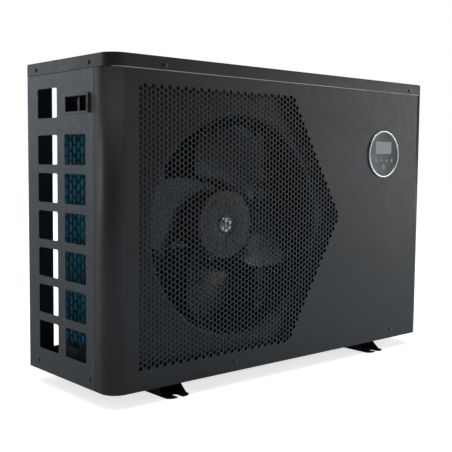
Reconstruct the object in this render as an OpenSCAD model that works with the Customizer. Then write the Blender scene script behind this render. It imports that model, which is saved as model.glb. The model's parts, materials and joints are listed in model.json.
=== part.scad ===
// Heat pump unit for a swimming pool: an outdoor casing with an axial fan, an
// L-shaped evaporator, a compressor circuit and a titanium water exchanger.
// Origin: on the ground, midway between the four anchor slots of the feet.
// X runs to the right, Y to the back and Z up. The casing pieces are drawn
// from the casing's lower front left corner by in_case().

/* [Casing] */
// Width of the casing
case_w = 927; // [900:1:980]
// Depth of the casing
case_d = 306; // [306:1:340]
// Height of the casing from its lower edge to the top of the lid
case_h = 620; // [615:1:660]
// Height of the lid's skirt
lid_h = 25.6; // [20:0.2:30]
// Radius of the two front corners
corner_r = 32; // [20:1:40]
// Thickness of the casing's sheet metal
sheet_t = 1.5; // [1:0.1:2]
// Depth to which the front panel wraps round the corners
wrap_d = 54; // [46:1:58]
// Gap between neighbouring panels
seam = 0.8; // [0.5:0.1:1.5]

/* [Front perforation] */
// Distance between the columns of holes, three times that of the fine sheet
grille_dx = 27.96; // [20:0.02:40]
// Distance between the holes in a column
grille_dz = 32.25; // [24:0.05:44]
// Width of the web between two holes
grille_web = 6; // [3:0.5:10]
// Left edge of the perforated field
field_x = 62; // [50:1:80]
// Lower edge of the perforated field
field_z = 37; // [37:1:60]
// Width of the rectangular part of the field
field_w = 400; // [300:1:400]
// Height of the perforated field
field_h = 532; // [400:1:534]
// How far the arrow point stands out from the rectangular part
arrow_w = 150; // [80:1:152]

/* [Side openings] */
// Width of one air opening
win_w = 76; // [50:1:78]
// Height of one air opening
win_h = 57.5; // [40:0.5:60]
// Height from one row of openings to the next
win_pitch = 74.5; // [70:0.5:76]
// Rows of openings in the front column
win_rows = 6; // [3:1:6]

/* [Fan] */
// Outside diameter of the impeller
fan_d = 428; // [380:1:432]
// Diameter of the impeller's hub
hub_d = 146; // [100:1:160]
// Number of blades
blade_count = 4; // [3:1:5]
// Inside diameter of the orifice ring
orifice_d = 446; // [446:1:460]
// Diameter of the motor shaft
shaft_d = 12; // [8:0.5:16]

/* [Controller] */
// Outside diameter of the controller's ring
ctrl_d = 110.4; // [90:0.2:120]
// Distance of the controller's centre from the left side
ctrl_x = 765.4; // [740:0.2:800]
// Height of the controller's centre
ctrl_z = 448.5; // [430:0.5:480]

/* [Feet] */
// Height of the feet
foot_h = 30; // [25:1:40]
// Width of one foot
foot_w = 56; // [44:1:70]
// Distance between the centre lines of the feet
foot_spacing = 603; // [560:1:640]
// Width of the open anchor slot
slot_w = 12; // [8:0.5:14]
// Length of the open anchor slot
slot_l = 24; // [16:1:30]

/* [Water] */
// Inside diameter of the pipe sockets
socket_d = 50.2; // [50.1:0.1:50.6]
// Depth of the pipe sockets
socket_l = 31; // [24:1:34]
// Height of the water inlet above the casing's lower edge
inlet_z = 110; // [105:1:130]
// Height of the water outlet above the casing's lower edge
outlet_z = 390; // [360:1:395]

/* [Hidden] */
$fn = 96;
eps = 0.01;

// Colours of the real materials
paint_side = "#4a5058";
paint_front = "#3d3f42";
black_steel = "#17181a";
black_plastic = "#202224";
dark_plastic = "#2b2d31";
blue_fin = "#1d6f8c";
copper = "#b5713f";
steel = "#a9adb0";
pvc_grey = "#8d9296";
pvc_white = "#dcdedc";
board_green = "#1e5d3a";

seam_z = case_h - lid_h;
panel_top = seam_z;
lip_top = seam_z + 18.6;
lip_root = 20;
lip_gap = 0.1;
side_y = wrap_d + seam;

// Base pan
pan_in = sheet_t + 0.2;
pan_rim = 34;

// Fan group: every depth is measured from the front of the casing
fan_x = 330;
fan_z = 296;
plate_y = 24;
plate_t = 2;
lip_r = 12;
ring_end = 80;
hub_front = 67;
hub_l = 58;
blade_t = 3;
motor_y = 134;
motor_l = 70;
motor_r = 48;
bearing_l = 6;
mount_plate_y = motor_y + motor_l;
rail_gap = 140;
shaft_gap = 0.05;

// Evaporator
coil_t = 22;
coil_x = 22.5;
coil_y = 276;
coil_bend = 100;
coil_y0 = 62;
coil_x1 = 590;
coil_z0 = 66;
coil_z1 = 586;
tube_r = 4.76;
tube_pitch = 25.4;
tube_z = 80;
tube_n = 20;
end_t = 1.5;

// Compressor side
part_x = 615;
comp_x = 700;
comp_y = 185;
comp_r = 58;
comp_z = 30;
comp_top = 322;
grommet_ring = 75;
acc_y = 88;
acc_r = 24;
acc_top = 292;
valve_z = 400;
valve_r = 13;
port_dx = 32;
pipe_r = 8;
thin_r = 5;
bend_r = 16;
tee_z = 355;

// Water exchanger
ex_x = 820;
ex_y = 185;
ex_r = 55;
ex_wall = 5;
ex_z0 = 52;
ex_z1 = 428;
port_r = 34;
stub_r = 30;
water_r = 21.5;
port_end = 906;
stub_start = 900;
union_l = 24;
thread_r = 36;
gasket_t = 2;
flange_t = 6;
tail_r = 31.5;
nut_r = 44;
nut_l = 32;

// Electrical side
box_x = 640;
box_y = 40;
box_z = 442;
box_w = 262;
box_d = 108;
box_h = 142;
box_t = 1.5;

// ---------- placing helpers ----------

module in_case() {
    translate([-case_w / 2, -case_d / 2, foot_h]) children();
}

// A flat outline in Y and Z, extruded from x to x + t
module sheet_yz(x, t) {
    translate([x, 0, 0]) rotate([90, 0, 90]) linear_extrude(t) children();
}

// A flat outline in X and Z, extruded from y to y + t
module sheet_xz(y, t) {
    translate([0, y + t, 0]) rotate([90, 0, 0]) linear_extrude(t) children();
}

// Turns an upright piece to run to the back
module along_y(x, y, z) {
    translate([x, y, z]) rotate([-90, 0, 0]) children();
}

// Turns an upright piece to run to the right
module along_x(x, y, z) {
    translate([x, y, z]) rotate([0, 90, 0]) children();
}

// A rectangle with true round corners
module round_rect(w, h, r) {
    translate([r, 0]) square([w - 2 * r, h]);
    translate([0, r]) square([w, h - 2 * r]);
    for (x = [r, w - r], y = [r, h - r]) translate([x, y]) circle(r);
}

// Plan of the casing: two round corners at the front
module case_plan(inset, depth) {
    r = corner_r - inset;
    w = case_w - 2 * inset;
    translate([inset, inset]) {
        translate([0, r]) square([w, depth - r]);
        translate([r, 0]) square([w - 2 * r, r + 1]);
        for (x = [r, w - r]) translate([x, r]) circle(r);
    }
}

// A quarter bend: starts at the origin along +Z and leaves along +X
module quarter_bend(rb, r) {
    translate([rb, 0, 0])
        mirror([1, 0, 0])
            rotate([90, 0, 0])
                rotate_extrude(angle = 90) translate([rb, 0]) circle(r, $fn = 32);
}

module rod(r, l) {
    cylinder(r = r, h = l, $fn = 32);
}

// ---------- screws ----------

// Pan head screw along +Z, head below the plane z = 0
module pan_screw(head_r, head_h, shank_r, shank_l) {
    difference() {
        translate([0, 0, -head_h]) cylinder(r = head_r, h = head_h, $fn = 32);
        for (a = [0, 90]) rotate([0, 0, a])
            translate([-head_r * 0.55, -0.5, -head_h - 1])
                cube([head_r * 1.1, 1, 1 + head_h * 0.6]);
    }
    translate([0, 0, -eps]) cylinder(r = shank_r, h = shank_l + eps, $fn = 32);
}

screw_hole_r = 2.2;
front_screws = [[120, case_h - 16], [862, case_h - 16], [300.6, 20.8], [809.4, 20.8]];
side_screws = [[72, case_h - 14], [272, case_h - 14], [73, 19], [270, 19]];
rear_screws = [[120, case_h - 14], [862, case_h - 14], [640, 19], [880, 19]];

module cover_screw() {
    pan_screw(4.2, 2.2, 1.9, 8);
}

module cover_screws() {
    color(steel) in_case() {
        for (p = front_screws) along_y(p[0], 0, p[1]) cover_screw();
        for (p = side_screws) {
            along_x(0, p[0], p[1]) cover_screw();
            translate([case_w, p[0], p[1]]) rotate([0, -90, 0]) cover_screw();
        }
        for (p = rear_screws)
            translate([p[0], case_d, p[1]]) rotate([90, 0, 0]) cover_screw();
    }
}

// Holes for the screws in every sheet that they pass
module cover_screw_holes() {
    for (p = front_screws) along_y(p[0], -5, p[1]) rod(screw_hole_r, 15);
    for (p = side_screws) {
        along_x(-5, p[0], p[1]) rod(screw_hole_r, 15);
        along_x(case_w - 10, p[0], p[1]) rod(screw_hole_r, 15);
    }
    for (p = rear_screws) along_y(p[0], case_d - 10, p[1]) rod(screw_hole_r, 15);
}

// ---------- base ----------

drain_x = 470;
drain_y = 150;
drain_r = 9;
drain_neck_r = 8.5;
drain_l = 20;

module base_pan() {
    color(black_steel) in_case() difference() {
        linear_extrude(pan_rim) case_plan(pan_in, case_d - 2 * pan_in);
        translate([0, 0, sheet_t]) linear_extrude(pan_rim)
            case_plan(pan_in + sheet_t, case_d - 2 * pan_in - 2 * sheet_t);
        translate([drain_x, drain_y, -1]) cylinder(r = drain_neck_r + 0.3, h = 4);
        for (a = [90, 210, 330])
            translate([comp_x, comp_y, 0]) rotate([0, 0, a]) translate([grommet_ring, 0, -1])
                cylinder(r = 4.4, h = 4, $fn = 32);
        cover_screw_holes();
    }
}

// A pressed channel: flat sole, two walls that taper to the tips, inward rims
foot_y0 = 4;
foot_t = 2.5;
foot_taper = 50;

module foot() {
    l = case_d - 2 * foot_y0;
    difference() {
        union() {
            translate([-foot_w / 2, foot_y0, 0]) linear_extrude(foot_t) round_rect(foot_w, l, 14);
            for (s = [-1, 1])
                translate([s * (foot_w / 2 - foot_t / 2) - foot_t / 2, 0, 0])
                    rotate([90, 0, 90]) linear_extrude(foot_t) polygon([
                        [foot_y0 + 14, 0],
                        [foot_y0 + foot_taper, foot_h],
                        [foot_y0 + l - foot_taper, foot_h],
                        [foot_y0 + l - 14, 0]
                    ]);
            for (s = [-1, 1])
                translate([s * (foot_w / 2 - 8) - 8, foot_y0 + foot_taper, foot_h - foot_t])
                    cube([16, l - 2 * foot_taper, foot_t]);
        }
        for (y = [foot_y0 - 1, case_d - foot_y0 + 1])
            open_slot(y);
    }
}

module open_slot(y) {
    inward = y < case_d / 2 ? 1 : -1;
    yc = y + inward * (slot_l - slot_w / 2);
    translate([0, yc, -1]) cylinder(r = slot_w / 2, h = foot_t + 2);
    translate([-slot_w / 2, min(y, yc), -1]) cube([slot_w, abs(yc - y), foot_t + 2]);
}

module foot_left() {
    color(black_steel) translate([-foot_spacing / 2, -case_d / 2, 0]) foot();
}

module foot_right() {
    color(black_steel) translate([foot_spacing / 2, -case_d / 2, 0]) foot();
}

module drain_nozzle() {
    color(black_plastic) in_case() translate([drain_x, drain_y, 0]) difference() {
        union() {
            translate([0, 0, -drain_l]) cylinder(r = drain_r, h = drain_l);
            translate([0, 0, -1]) cylinder(r = drain_neck_r, h = sheet_t + 2);
            translate([0, 0, sheet_t]) cylinder(r = 16, h = 2);
        }
        translate([0, 0, -drain_l - 1]) cylinder(r = drain_r - 2, h = drain_l + 6);
    }
}

// ---------- casing panels ----------

// Outline of the perforated field: a rectangle with an arrow point to the right
function in_field(x, z, r) =
    x - r >= field_x - 5 && z - r >= field_z && z + r <= field_z + field_h
    && x + r <= field_x + field_w
        + arrow_w * (1 - abs(z - field_z - field_h / 2) / (field_h / 2));

module perforation() {
    r = (grille_dx * 4 / 3 - grille_web * 2 / sqrt(3)) / 2;
    for (i = [0 : floor((field_w + arrow_w) / grille_dx)])
        for (j = [0 : floor(field_h / grille_dz)]) {
            x = field_x + r + i * grille_dx;
            z = field_z + 16 + (j + (i % 2) / 2) * grille_dz;
            if (in_field(x, z, r * 0.86)) translate([x, z]) circle(r, $fn = 6);
        }
}

module front_panel() {
    color(paint_front) in_case() difference() {
        union() {
            linear_extrude(panel_top) intersection() {
                difference() {
                    case_plan(0, case_d);
                    case_plan(sheet_t, case_d);
                }
                square([case_w, wrap_d]);
            }
            translate([corner_r + 4, sheet_t - eps, panel_top - lip_root])
                cube([case_w - 2 * corner_r - 8, sheet_t + eps, lip_root]);
            translate([corner_r + 4, sheet_t + lip_gap, panel_top - lip_root])
                cube([case_w - 2 * corner_r - 8, sheet_t - lip_gap, lip_top - panel_top + lip_root]);
        }
        sheet_xz(-1, sheet_t + 2) perforation();
        along_y(ctrl_x, -1, ctrl_z) cylinder(r = ctrl_d / 2 - 5, h = 6);
        cover_screw_holes();
    }
}

win_z = 46.3;
front_col_y = 83.5;
back_col_y = 187.5;
top_win_z = 509.6;
flange_w = 55;

handle_y = 66;
handle_w = 92;
handle_z = 514;
handle_h = 38;
pocket_in = 5;
pocket_d = 18;

module air_openings() {
    for (i = [0 : win_rows - 1], y = [front_col_y, back_col_y])
        translate([y, win_z + i * win_pitch]) round_rect(win_w, win_h, 4);
    translate([back_col_y, top_win_z]) round_rect(win_w, win_h, 4);
}

module handle_cutout() {
    translate([handle_y + pocket_in - 0.4, handle_z + pocket_in - 0.4])
        square([handle_w - 2 * pocket_in + 0.8, handle_h - 2 * pocket_in + 0.8]);
}

// Side sheet with its joggled lip under the lid
module side_sheet(depth) {
    translate([side_y, 0]) square([depth - side_y, panel_top]);
}

// Lip of the left side; the right side has it mirrored
module side_lip() {
    translate([sheet_t - eps, side_y + 4, panel_top - lip_root])
        cube([sheet_t + eps, case_d - side_y - 12, lip_root]);
    translate([sheet_t + lip_gap, side_y + 4, panel_top - lip_root])
        cube([sheet_t - lip_gap, case_d - side_y - 12, lip_top - panel_top + lip_root]);
}

module left_side_panel() {
    color(paint_side) in_case() difference() {
        union() {
            sheet_yz(0, sheet_t) difference() {
                side_sheet(case_d);
                air_openings();
                handle_cutout();
            }
            side_lip();
            translate([0, case_d - sheet_t, 0]) cube([flange_w, sheet_t, panel_top]);
        }
        cover_screw_holes();
    }
}

cover_y = 96;
cover_z = 452;
cover_w = 104;
cover_h = 118;
gland_y = 90;
gland_z = 330;
water_y = ex_y;

module right_side_panel() {
    color(paint_side) in_case() difference() {
        union() {
            sheet_yz(case_w - sheet_t, sheet_t) difference() {
                side_sheet(case_d - sheet_t);
                handle_cutout_right();
                translate([cover_y + 9, cover_z + 9]) square([cover_w - 18, cover_h - 18]);
                translate([gland_y, gland_z]) circle(8.4);
                for (z = [inlet_z, outlet_z]) translate([water_y, z]) circle(stub_r + 1);
            }
            translate([case_w, 0, 0]) mirror([1, 0, 0]) side_lip();
        }
        cover_screw_holes();
        for (z = [cover_z + 5, cover_z + cover_h - 5], y = [cover_y + 5, cover_y + cover_w - 5])
            along_x(case_w - 5, y, z) rod(1.2, 10);
    }
}

right_handle_y = 206;
right_handle_z = 514;

module handle_cutout_right() {
    translate([right_handle_y - handle_y, right_handle_z - handle_z]) handle_cutout();
}

module rear_panel() {
    color(paint_side) in_case() difference() {
        sheet_xz(case_d - sheet_t, sheet_t) difference() {
            union() {
                translate([coil_x1 + 14, 0])
                    square([case_w - coil_x1 - 14, panel_top]);
                translate([flange_w + seam, panel_top - 12])
                    square([coil_x1 + 15 - flange_w, 12]);
                translate([coil_x1 + 15, panel_top])
                    square([case_w - coil_x1 - 40, lip_top - panel_top]);
            }
            for (i = [0 : 7]) translate([700, 430 + i * 15]) round_rect(130, 6, 2.5);
        }
        cover_screw_holes();
    }
}

module top_cover() {
    z0 = seam_z + seam;
    color(paint_front) in_case() difference() {
        translate([0, 0, z0]) linear_extrude(case_h - z0) case_plan(0, case_d + sheet_t + 0.3);
        translate([0, 0, z0 - 1]) linear_extrude(case_h - z0 + 1 - sheet_t)
            case_plan(sheet_t, case_d + 0.3 - sheet_t);
        cover_screw_holes_lid();
    }
}

module cover_screw_holes_lid() {
    cover_screw_holes();
    for (p = rear_screws) along_y(p[0], case_d - 4, p[1]) rod(4.6, 15);
}

// ---------- handles ----------

// Recessed grip along +Y on the left side, open towards -X
module grip() {
    w = handle_w - 2 * pocket_in;
    h = handle_h - 2 * pocket_in;
    wall = 1.6;
    difference() {
        union() {
            sheet_yz(-1.6, 1.6) round_rect(handle_w, handle_h, 3);
            translate([0, pocket_in, pocket_in]) cube([pocket_d + wall, w, h]);
            translate([-5, 0.8, 2]) cube([3.5, 5.6, handle_h - 4]);
        }
        translate([-2, pocket_in + wall, pocket_in + wall])
            cube([pocket_d + 2, w - 2 * wall, h - 2 * wall]);
    }
    translate([pocket_d - 9, handle_w * 0.6, pocket_in + wall - eps])
        cube([9 + eps, 7, h - 2 * wall + 2 * eps]);
    for (z = [pocket_in + wall - eps, handle_h - pocket_in - wall - 7])
        translate([pocket_d - 5, pocket_in + wall - eps, z]) cube([5 + eps, 18, 7 + eps]);
}

module handle_left() {
    color(black_plastic) in_case() translate([0, handle_y, handle_z]) grip();
}

module handle_right() {
    color(black_plastic) in_case() translate([case_w, right_handle_y, right_handle_z])
        mirror([1, 0, 0]) grip();
}

// ---------- fan compartment ----------

module partition_plate() {
    color(steel) in_case() sheet_yz(part_x, sheet_t) difference() {
        translate([sheet_t + 2, sheet_t]) square([case_d - 2 * sheet_t - 6, panel_top - 24]);
        translate([comp_y + 80, tube_z]) circle(thin_r + 3);
        translate([comp_y + 80, tube_z + 19 * tube_pitch]) circle(pipe_r + 3);
    }
}

orifice_screw_xz = [[46, 22], [590, 22], [46, 566], [590, 566]];

module fan_orifice() {
    r = orifice_d / 2;
    color(dark_plastic) in_case() {
        difference() {
            sheet_xz(plate_y, plate_t) difference() {
                translate([30, 6]) square([576, 574]);
                translate([fan_x, fan_z]) circle(r + lip_r - plate_t, $fn = 180);
                for (p = orifice_screw_xz) translate(p) circle(2.4, $fn = 32);
            }
        }
        along_y(fan_x, plate_y, fan_z) rotate_extrude($fn = 180) {
            intersection() {
                translate([r + lip_r - plate_t, lip_r]) difference() {
                    circle(lip_r);
                    circle(lip_r - plate_t);
                }
                translate([r - plate_t, 0]) square([lip_r, lip_r]);
            }
            translate([r - plate_t, lip_r]) square([plate_t, ring_end - plate_y - lip_r]);
        }
    }
}

module orifice_screws() {
    color(steel) in_case() for (p = orifice_screw_xz)
        along_y(p[0], plate_y, p[1]) pan_screw(4.5, 2.4, 2.1, 12);
}

module motor_bracket() {
    rail_w = 30;
    rail_d = 12;
    color(steel) in_case() difference() {
        union() {
            for (s = [-1, 1]) translate([fan_x + s * rail_gap / 2, mount_plate_y + 2, 0]) {
                translate([-rail_w / 2, 0, sheet_t]) difference() {
                    cube([rail_w, rail_d, panel_top - 8]);
                    translate([1.5, 1.5, -1]) cube([rail_w - 3, rail_d, panel_top]);
                }
                for (z = [sheet_t, panel_top - 8])
                    translate([-rail_w / 2, 0, z]) cube([rail_w, 26, sheet_t]);
            }
            translate([fan_x - rail_gap / 2 - 15, mount_plate_y, fan_z - 60])
                cube([rail_gap + 30, 2, 120]);
        }
        for (a = [45 : 90 : 315])
            along_y(fan_x + 36 * cos(a), mount_plate_y - 1, fan_z + 36 * sin(a)) rod(2.7, 5);
    }
}

module motor_housing() {
    color(dark_plastic) in_case() along_y(fan_x, motor_y, fan_z) difference() {
        union() {
            cylinder(r = motor_r, h = motor_l);
            translate([0, 0, -bearing_l]) cylinder(r = 14, h = bearing_l + 1);
            for (a = [0 : 15 : 345]) rotate([0, 0, a])
                translate([motor_r - 1, -1, 12]) cube([4, 2, motor_l - 20]);
        }
        translate([0, 0, -bearing_l - 1]) cylinder(r = shaft_d / 2 + shaft_gap, h = 60);
        for (a = [45 : 90 : 315]) rotate([0, 0, a])
            translate([36, 0, motor_l - 12]) rod(2.7, 13);
    }
}

module motor_screws() {
    color(steel) in_case() for (a = [45 : 90 : 315])
        translate([fan_x + 36 * cos(a), mount_plate_y + 2, fan_z + 36 * sin(a)])
            rotate([90, 0, 0]) pan_screw(4.6, 2.8, 2.4, 12);
}

module fan_shaft() {
    color(steel) in_case() along_y(fan_x, hub_front - 3, fan_z)
        cylinder(r = shaft_d / 2, h = motor_y - bearing_l - hub_front + 55);
}

// Outline of one blade, seen from the front with its root on the hub
module blade_plan() {
    intersection() {
        difference() {
            circle(fan_d / 2, $fn = 180);
            circle(hub_d / 2 - 4);
        }
        difference() {
            translate([20, 96]) circle(175);
            translate([118, -18]) circle(112);
        }
    }
}

// A blade is a tilted slab cut to its outline, thinner than the hub is long
blade_tilt = 13;

module blade() {
    intersection() {
        translate([0, 0, -hub_l / 2 - 12]) linear_extrude(hub_l + 24) blade_plan();
        rotate([0, 0, 100]) rotate([blade_tilt, 0, 0])
            translate([-fan_d / 2, -fan_d / 2, -blade_t / 2]) cube([fan_d, fan_d, blade_t]);
    }
}

module fan_impeller() {
    color(dark_plastic) in_case() along_y(fan_x, hub_front, fan_z) difference() {
        union() {
            rotate_extrude() {
                translate([hub_d / 2 - 3, 4]) square([3, hub_l - 4]);
                polygon([[0, 2], [24, 2], [30, 0], [hub_d / 2 - 4, 0], [hub_d / 2, 4],
                    [hub_d / 2 - 3, 6], [hub_d / 2 - 5, 3.4], [30, 3.4], [24, 5], [0, 5]]);
                translate([0, 4]) square([13, hub_l - 14]);
            }
            for (i = [0 : blade_count - 1]) rotate([0, 0, i * 360 / blade_count + 18])
                translate([0, 0, hub_l / 2 + 4]) difference() {
                    blade();
                    cylinder(r = hub_d / 2 - 1.5, h = 200, center = true);
                }
            for (i = [0 : 5]) rotate([0, 0, i * 60])
                translate([12, -1.2, 3]) cube([hub_d / 2 - 14, 2.4, hub_l - 16]);
        }
        translate([0, 0, -1]) cylinder(r = shaft_d / 2 + 0.02, h = hub_l + 2);
    }
}

module fan_nut() {
    color(steel) in_case() along_y(fan_x, hub_front - 4, fan_z) difference() {
        union() {
            cylinder(r = 11, h = 6, $fn = 6);
            translate([0, 0, 4.2]) cylinder(r = 16, h = 1.8);
        }
        translate([0, 0, -1]) cylinder(r = shaft_d / 2 + 0.02, h = 20);
    }
}

// ---------- evaporator ----------

// Plan of the L-shaped block: a leg on the left, a round bend and the back
module coil_plan(t, off) {
    cx = coil_x + coil_bend;
    cy = coil_y - coil_bend;
    translate([coil_x + off, coil_y0]) square([t, cy - coil_y0]);
    translate([cx, coil_y - off - t]) square([coil_x1 - cx, t]);
    translate([cx, cy]) intersection() {
        difference() {
            circle(coil_bend - off);
            circle(coil_bend - off - t);
        }
        translate([-coil_bend, 0]) square([coil_bend, coil_bend]);
    }
}

module evaporator_fins() {
    color(blue_fin) in_case() translate([0, 0, coil_z0])
        linear_extrude(coil_z1 - coil_z0) coil_plan(coil_t, 0);
}

module coil_plinth() {
    color(black_plastic) in_case() translate([0, 0, sheet_t])
        linear_extrude(coil_z0 - sheet_t) coil_plan(coil_t - 4, 2);
}

// Tube ends and return bends, one pair to each bend
module return_bend() {
    rotate([0, -90, 0]) rotate_extrude(angle = 180, $fn = 48)
        translate([tube_pitch / 2, 0]) circle(tube_r, $fn = 24);
}

module bend_pair(first) {
    for (i = [first : 2 : tube_n - 2])
        translate([0, 0, tube_z + (i + 0.5) * tube_pitch]) {
            translate([0, end_t + 2, 0]) return_bend();
            for (s = [-1, 1])
                translate([0, 0, s * tube_pitch / 2]) rotate([-90, 0, 0])
                    cylinder(r = tube_r, h = end_t + 2, $fn = 24);
        }
}

module evaporator_tubes() {
    color(copper) in_case() {
        translate([coil_x + coil_t / 2, coil_y0, 0]) mirror([0, 1, 0]) bend_pair(0);
        translate([coil_x1, coil_y - coil_t / 2, 0]) rotate([0, 0, -90]) bend_pair(1);
    }
}

module end_plate() {
    difference() {
        square([coil_t + 4, coil_z1 - coil_z0]);
        for (i = [0 : tube_n - 1])
            translate([coil_t / 2 + 2, tube_z - coil_z0 + i * tube_pitch])
                circle(tube_r + 0.25, $fn = 24);
    }
}

module evaporator_end_plates() {
    color(steel) in_case() {
        translate([coil_x - 2, 0, coil_z0]) sheet_xz(coil_y0 - end_t, end_t) end_plate();
        translate([0, coil_y - coil_t - 2, coil_z0]) sheet_yz(coil_x1, end_t) end_plate();
    }
}

net_y0 = 66;
net_y1 = 200;
net_z0 = 60;
net_z1 = 506;
net_cell = 25;
net_x = 17.5;

module evaporator_net() {
    w = net_y1 - net_y0;
    h = net_z1 - net_z0;
    color(black_plastic) in_case() translate([0, net_y0, net_z0]) sheet_yz(net_x, 1.5) {
        difference() {
            square([w, h]);
            translate([4, 4]) square([w - 8, h - 8]);
        }
        intersection() {
            square([w, h]);
            for (k = [-ceil(h / net_cell) : ceil((w + h) / net_cell)], s = [-45, 45])
                translate([k * net_cell, s < 0 ? h : 0]) rotate(s)
                    translate([0, -0.8]) square([(w + h) * 1.5, 1.6]);
        }
    }
}

guard_x0 = 78;
guard_y = 288;

module rear_coil_guard() {
    x1 = coil_x1 + 12;
    color(black_steel) in_case() {
        sheet_xz(guard_y, 3) for (i = [0 : 20])
            translate([guard_x0 + i * (x1 - guard_x0 - 4) / 20, 38]) square([4, 544]);
        sheet_xz(guard_y + 3 - eps, 3) for (j = [0 : 8])
            translate([guard_x0, 38 + j * 67.5]) square([x1 - guard_x0, 4]);
    }
}

// ---------- refrigerant circuit ----------

module compressor() {
    h = comp_top - comp_z;
    color(black_plastic) in_case() translate([comp_x, comp_y, 0]) difference() {
        union() {
            translate([0, 0, comp_z]) rotate_extrude() {
                square([comp_r - 14, h]);
                translate([0, 14]) square([comp_r, h - 28]);
                for (z = [14, h - 14]) translate([comp_r - 14, z]) circle(14);
            }
            for (a = [90, 210, 330]) rotate([0, 0, a]) {
                translate([comp_r - 30, -14, comp_z - 4]) cube([grommet_ring - comp_r + 30, 28, 5]);
                translate([grommet_ring, 0, comp_z - 4]) cylinder(r = 14, h = 5);
            }
            translate([0, -12, comp_top - 8]) rod(15, 22);
        }
        for (a = [90, 210, 330]) rotate([0, 0, a])
            translate([grommet_ring, 0, comp_z - 5]) cylinder(r = 7.6, h = 8);
    }
}

module compressor_grommets() {
    color("#101010") in_case() for (a = [90, 210, 330])
        translate([comp_x, comp_y, 0]) rotate([0, 0, a]) translate([grommet_ring, 0, 0])
            difference() {
                union() {
                    translate([0, 0, sheet_t]) cylinder(r = 12, h = comp_z - 4 - sheet_t);
                    translate([0, 0, comp_z - 5]) cylinder(r = 7.2, h = 9);
                    translate([0, 0, comp_z + 1]) cylinder(r = 11, h = 4);
                }
                translate([0, 0, -1]) cylinder(r = 4.4, h = 60);
            }
}

module compressor_bolts() {
    color(steel) in_case() for (a = [90, 210, 330])
        translate([comp_x, comp_y, 0]) rotate([0, 0, a]) translate([grommet_ring, 0, 0]) {
            translate([0, 0, -3]) cylinder(r = 4, h = comp_z + 14);
            translate([0, 0, comp_z + 5]) cylinder(r = 7.5, h = 5, $fn = 6);
            translate([0, 0, -4]) cylinder(r = 7.5, h = 4);
        }
}

module accumulator() {
    color(black_plastic) in_case() translate([comp_x, acc_y, 0]) {
        translate([0, 0, 110]) rotate_extrude() {
            square([acc_r - 10, acc_top - 110]);
            translate([0, 10]) square([acc_r, acc_top - 130]);
            for (z = [10, acc_top - 120]) translate([acc_r - 10, z]) circle(10);
        }
        translate([0, acc_r - 4, 200]) rotate([-90, 0, 0])
            cylinder(r = 9, h = comp_y - comp_r - acc_y - acc_r + 3.6);
    }
}

module four_way_valve() {
    color("#b08d4a") in_case() {
        along_x(comp_x - 60, comp_y, valve_z) cylinder(r = valve_r, h = 120);
        for (x = [-port_dx, 0, port_dx])
            translate([comp_x + x, comp_y, valve_z - 24]) rod(pipe_r + 1.5, 24);
        translate([comp_x, comp_y, valve_z]) rod(pipe_r + 1.5, 24);
    }
}

module valve_solenoid() {
    color("#3b3f45") in_case() translate([comp_x - 20, comp_y - 44, valve_z - 12]) difference() {
        cube([34, 30, 30]);
        translate([17, -1, 15]) rotate([-90, 0, 0]) cylinder(r = 5, h = 12);
    }
}

module discharge_pipe() {
    bend = 15;
    rise = 440;
    color(copper) in_case() {
        translate([comp_x, comp_y + 2 * bend, comp_top]) rod(pipe_r, rise - comp_top);
        translate([comp_x, comp_y + bend, rise]) rotate([90, 0, 90])
            rotate_extrude(angle = 180) translate([bend, 0]) circle(pipe_r, $fn = 32);
        translate([comp_x, comp_y, valve_z + 24]) rod(pipe_r, rise - valve_z - 24);
    }
}

module suction_pipe() {
    run = comp_y - acc_y - 2 * bend_r;
    z = tee_z - 6;
    color(copper) in_case() translate([comp_x, acc_y, 0]) {
        translate([0, 0, acc_top]) rod(pipe_r, z - bend_r - acc_top);
        translate([0, 0, z - bend_r]) rotate([0, 0, 90]) quarter_bend(bend_r, pipe_r);
        translate([0, bend_r, z]) rotate([-90, 0, 0]) rod(pipe_r, run);
        translate([0, 2 * bend_r + run, z + bend_r]) rotate([180, 0, 0])
            rotate([0, 0, 90]) quarter_bend(bend_r, pipe_r);
        translate([0, 2 * bend_r + run, z + bend_r])
            rod(pipe_r, valve_z - 24 - z - bend_r);
    }
}

module evaporator_pipe() {
    x = comp_x - port_dx;
    run = 80 - 2 * bend_r;
    z_top = tube_z + 19 * tube_pitch;
    color(copper) in_case() translate([x, comp_y, 0]) {
        translate([0, 0, tee_z + bend_r]) rod(pipe_r, valve_z - 24 - tee_z - bend_r);
        translate([0, 0, tee_z + bend_r]) mirror([0, 0, 1]) rotate([0, 0, 90])
            quarter_bend(bend_r, pipe_r);
        translate([0, bend_r, tee_z]) rotate([-90, 0, 0]) rod(pipe_r, run);
        translate([0, 80, tee_z + bend_r]) rotate([180, 0, 0]) rotate([0, 0, 90])
            quarter_bend(bend_r, pipe_r);
        translate([0, 80, tee_z + bend_r]) rod(pipe_r, z_top - tee_z - 2 * bend_r);
        translate([0, 80, z_top - bend_r]) rotate([0, 0, 180]) quarter_bend(bend_r, pipe_r);
        translate([-bend_r, 80, z_top]) rotate([0, -90, 0])
            rod(pipe_r, x - bend_r - coil_x1 - end_t - 8);
        translate([coil_x1 - x + 0.2, 80, z_top]) rotate([0, 90, 0]) rod(tube_r, end_t + 9);
    }
}

module condenser_pipe() {
    color(copper) in_case() translate([comp_x + port_dx, comp_y, 0]) {
        translate([0, 0, tee_z + bend_r]) rod(pipe_r, valve_z - 24 - tee_z - bend_r);
        translate([0, 0, tee_z + bend_r]) mirror([0, 0, 1]) quarter_bend(bend_r, pipe_r);
        translate([bend_r, 0, tee_z]) rotate([0, 90, 0])
            rod(pipe_r, ex_x - ex_r - 8 - comp_x - port_dx - bend_r);
    }
}

eev_x = 735;
eev_y = 50;
liquid_z = 92;

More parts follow.
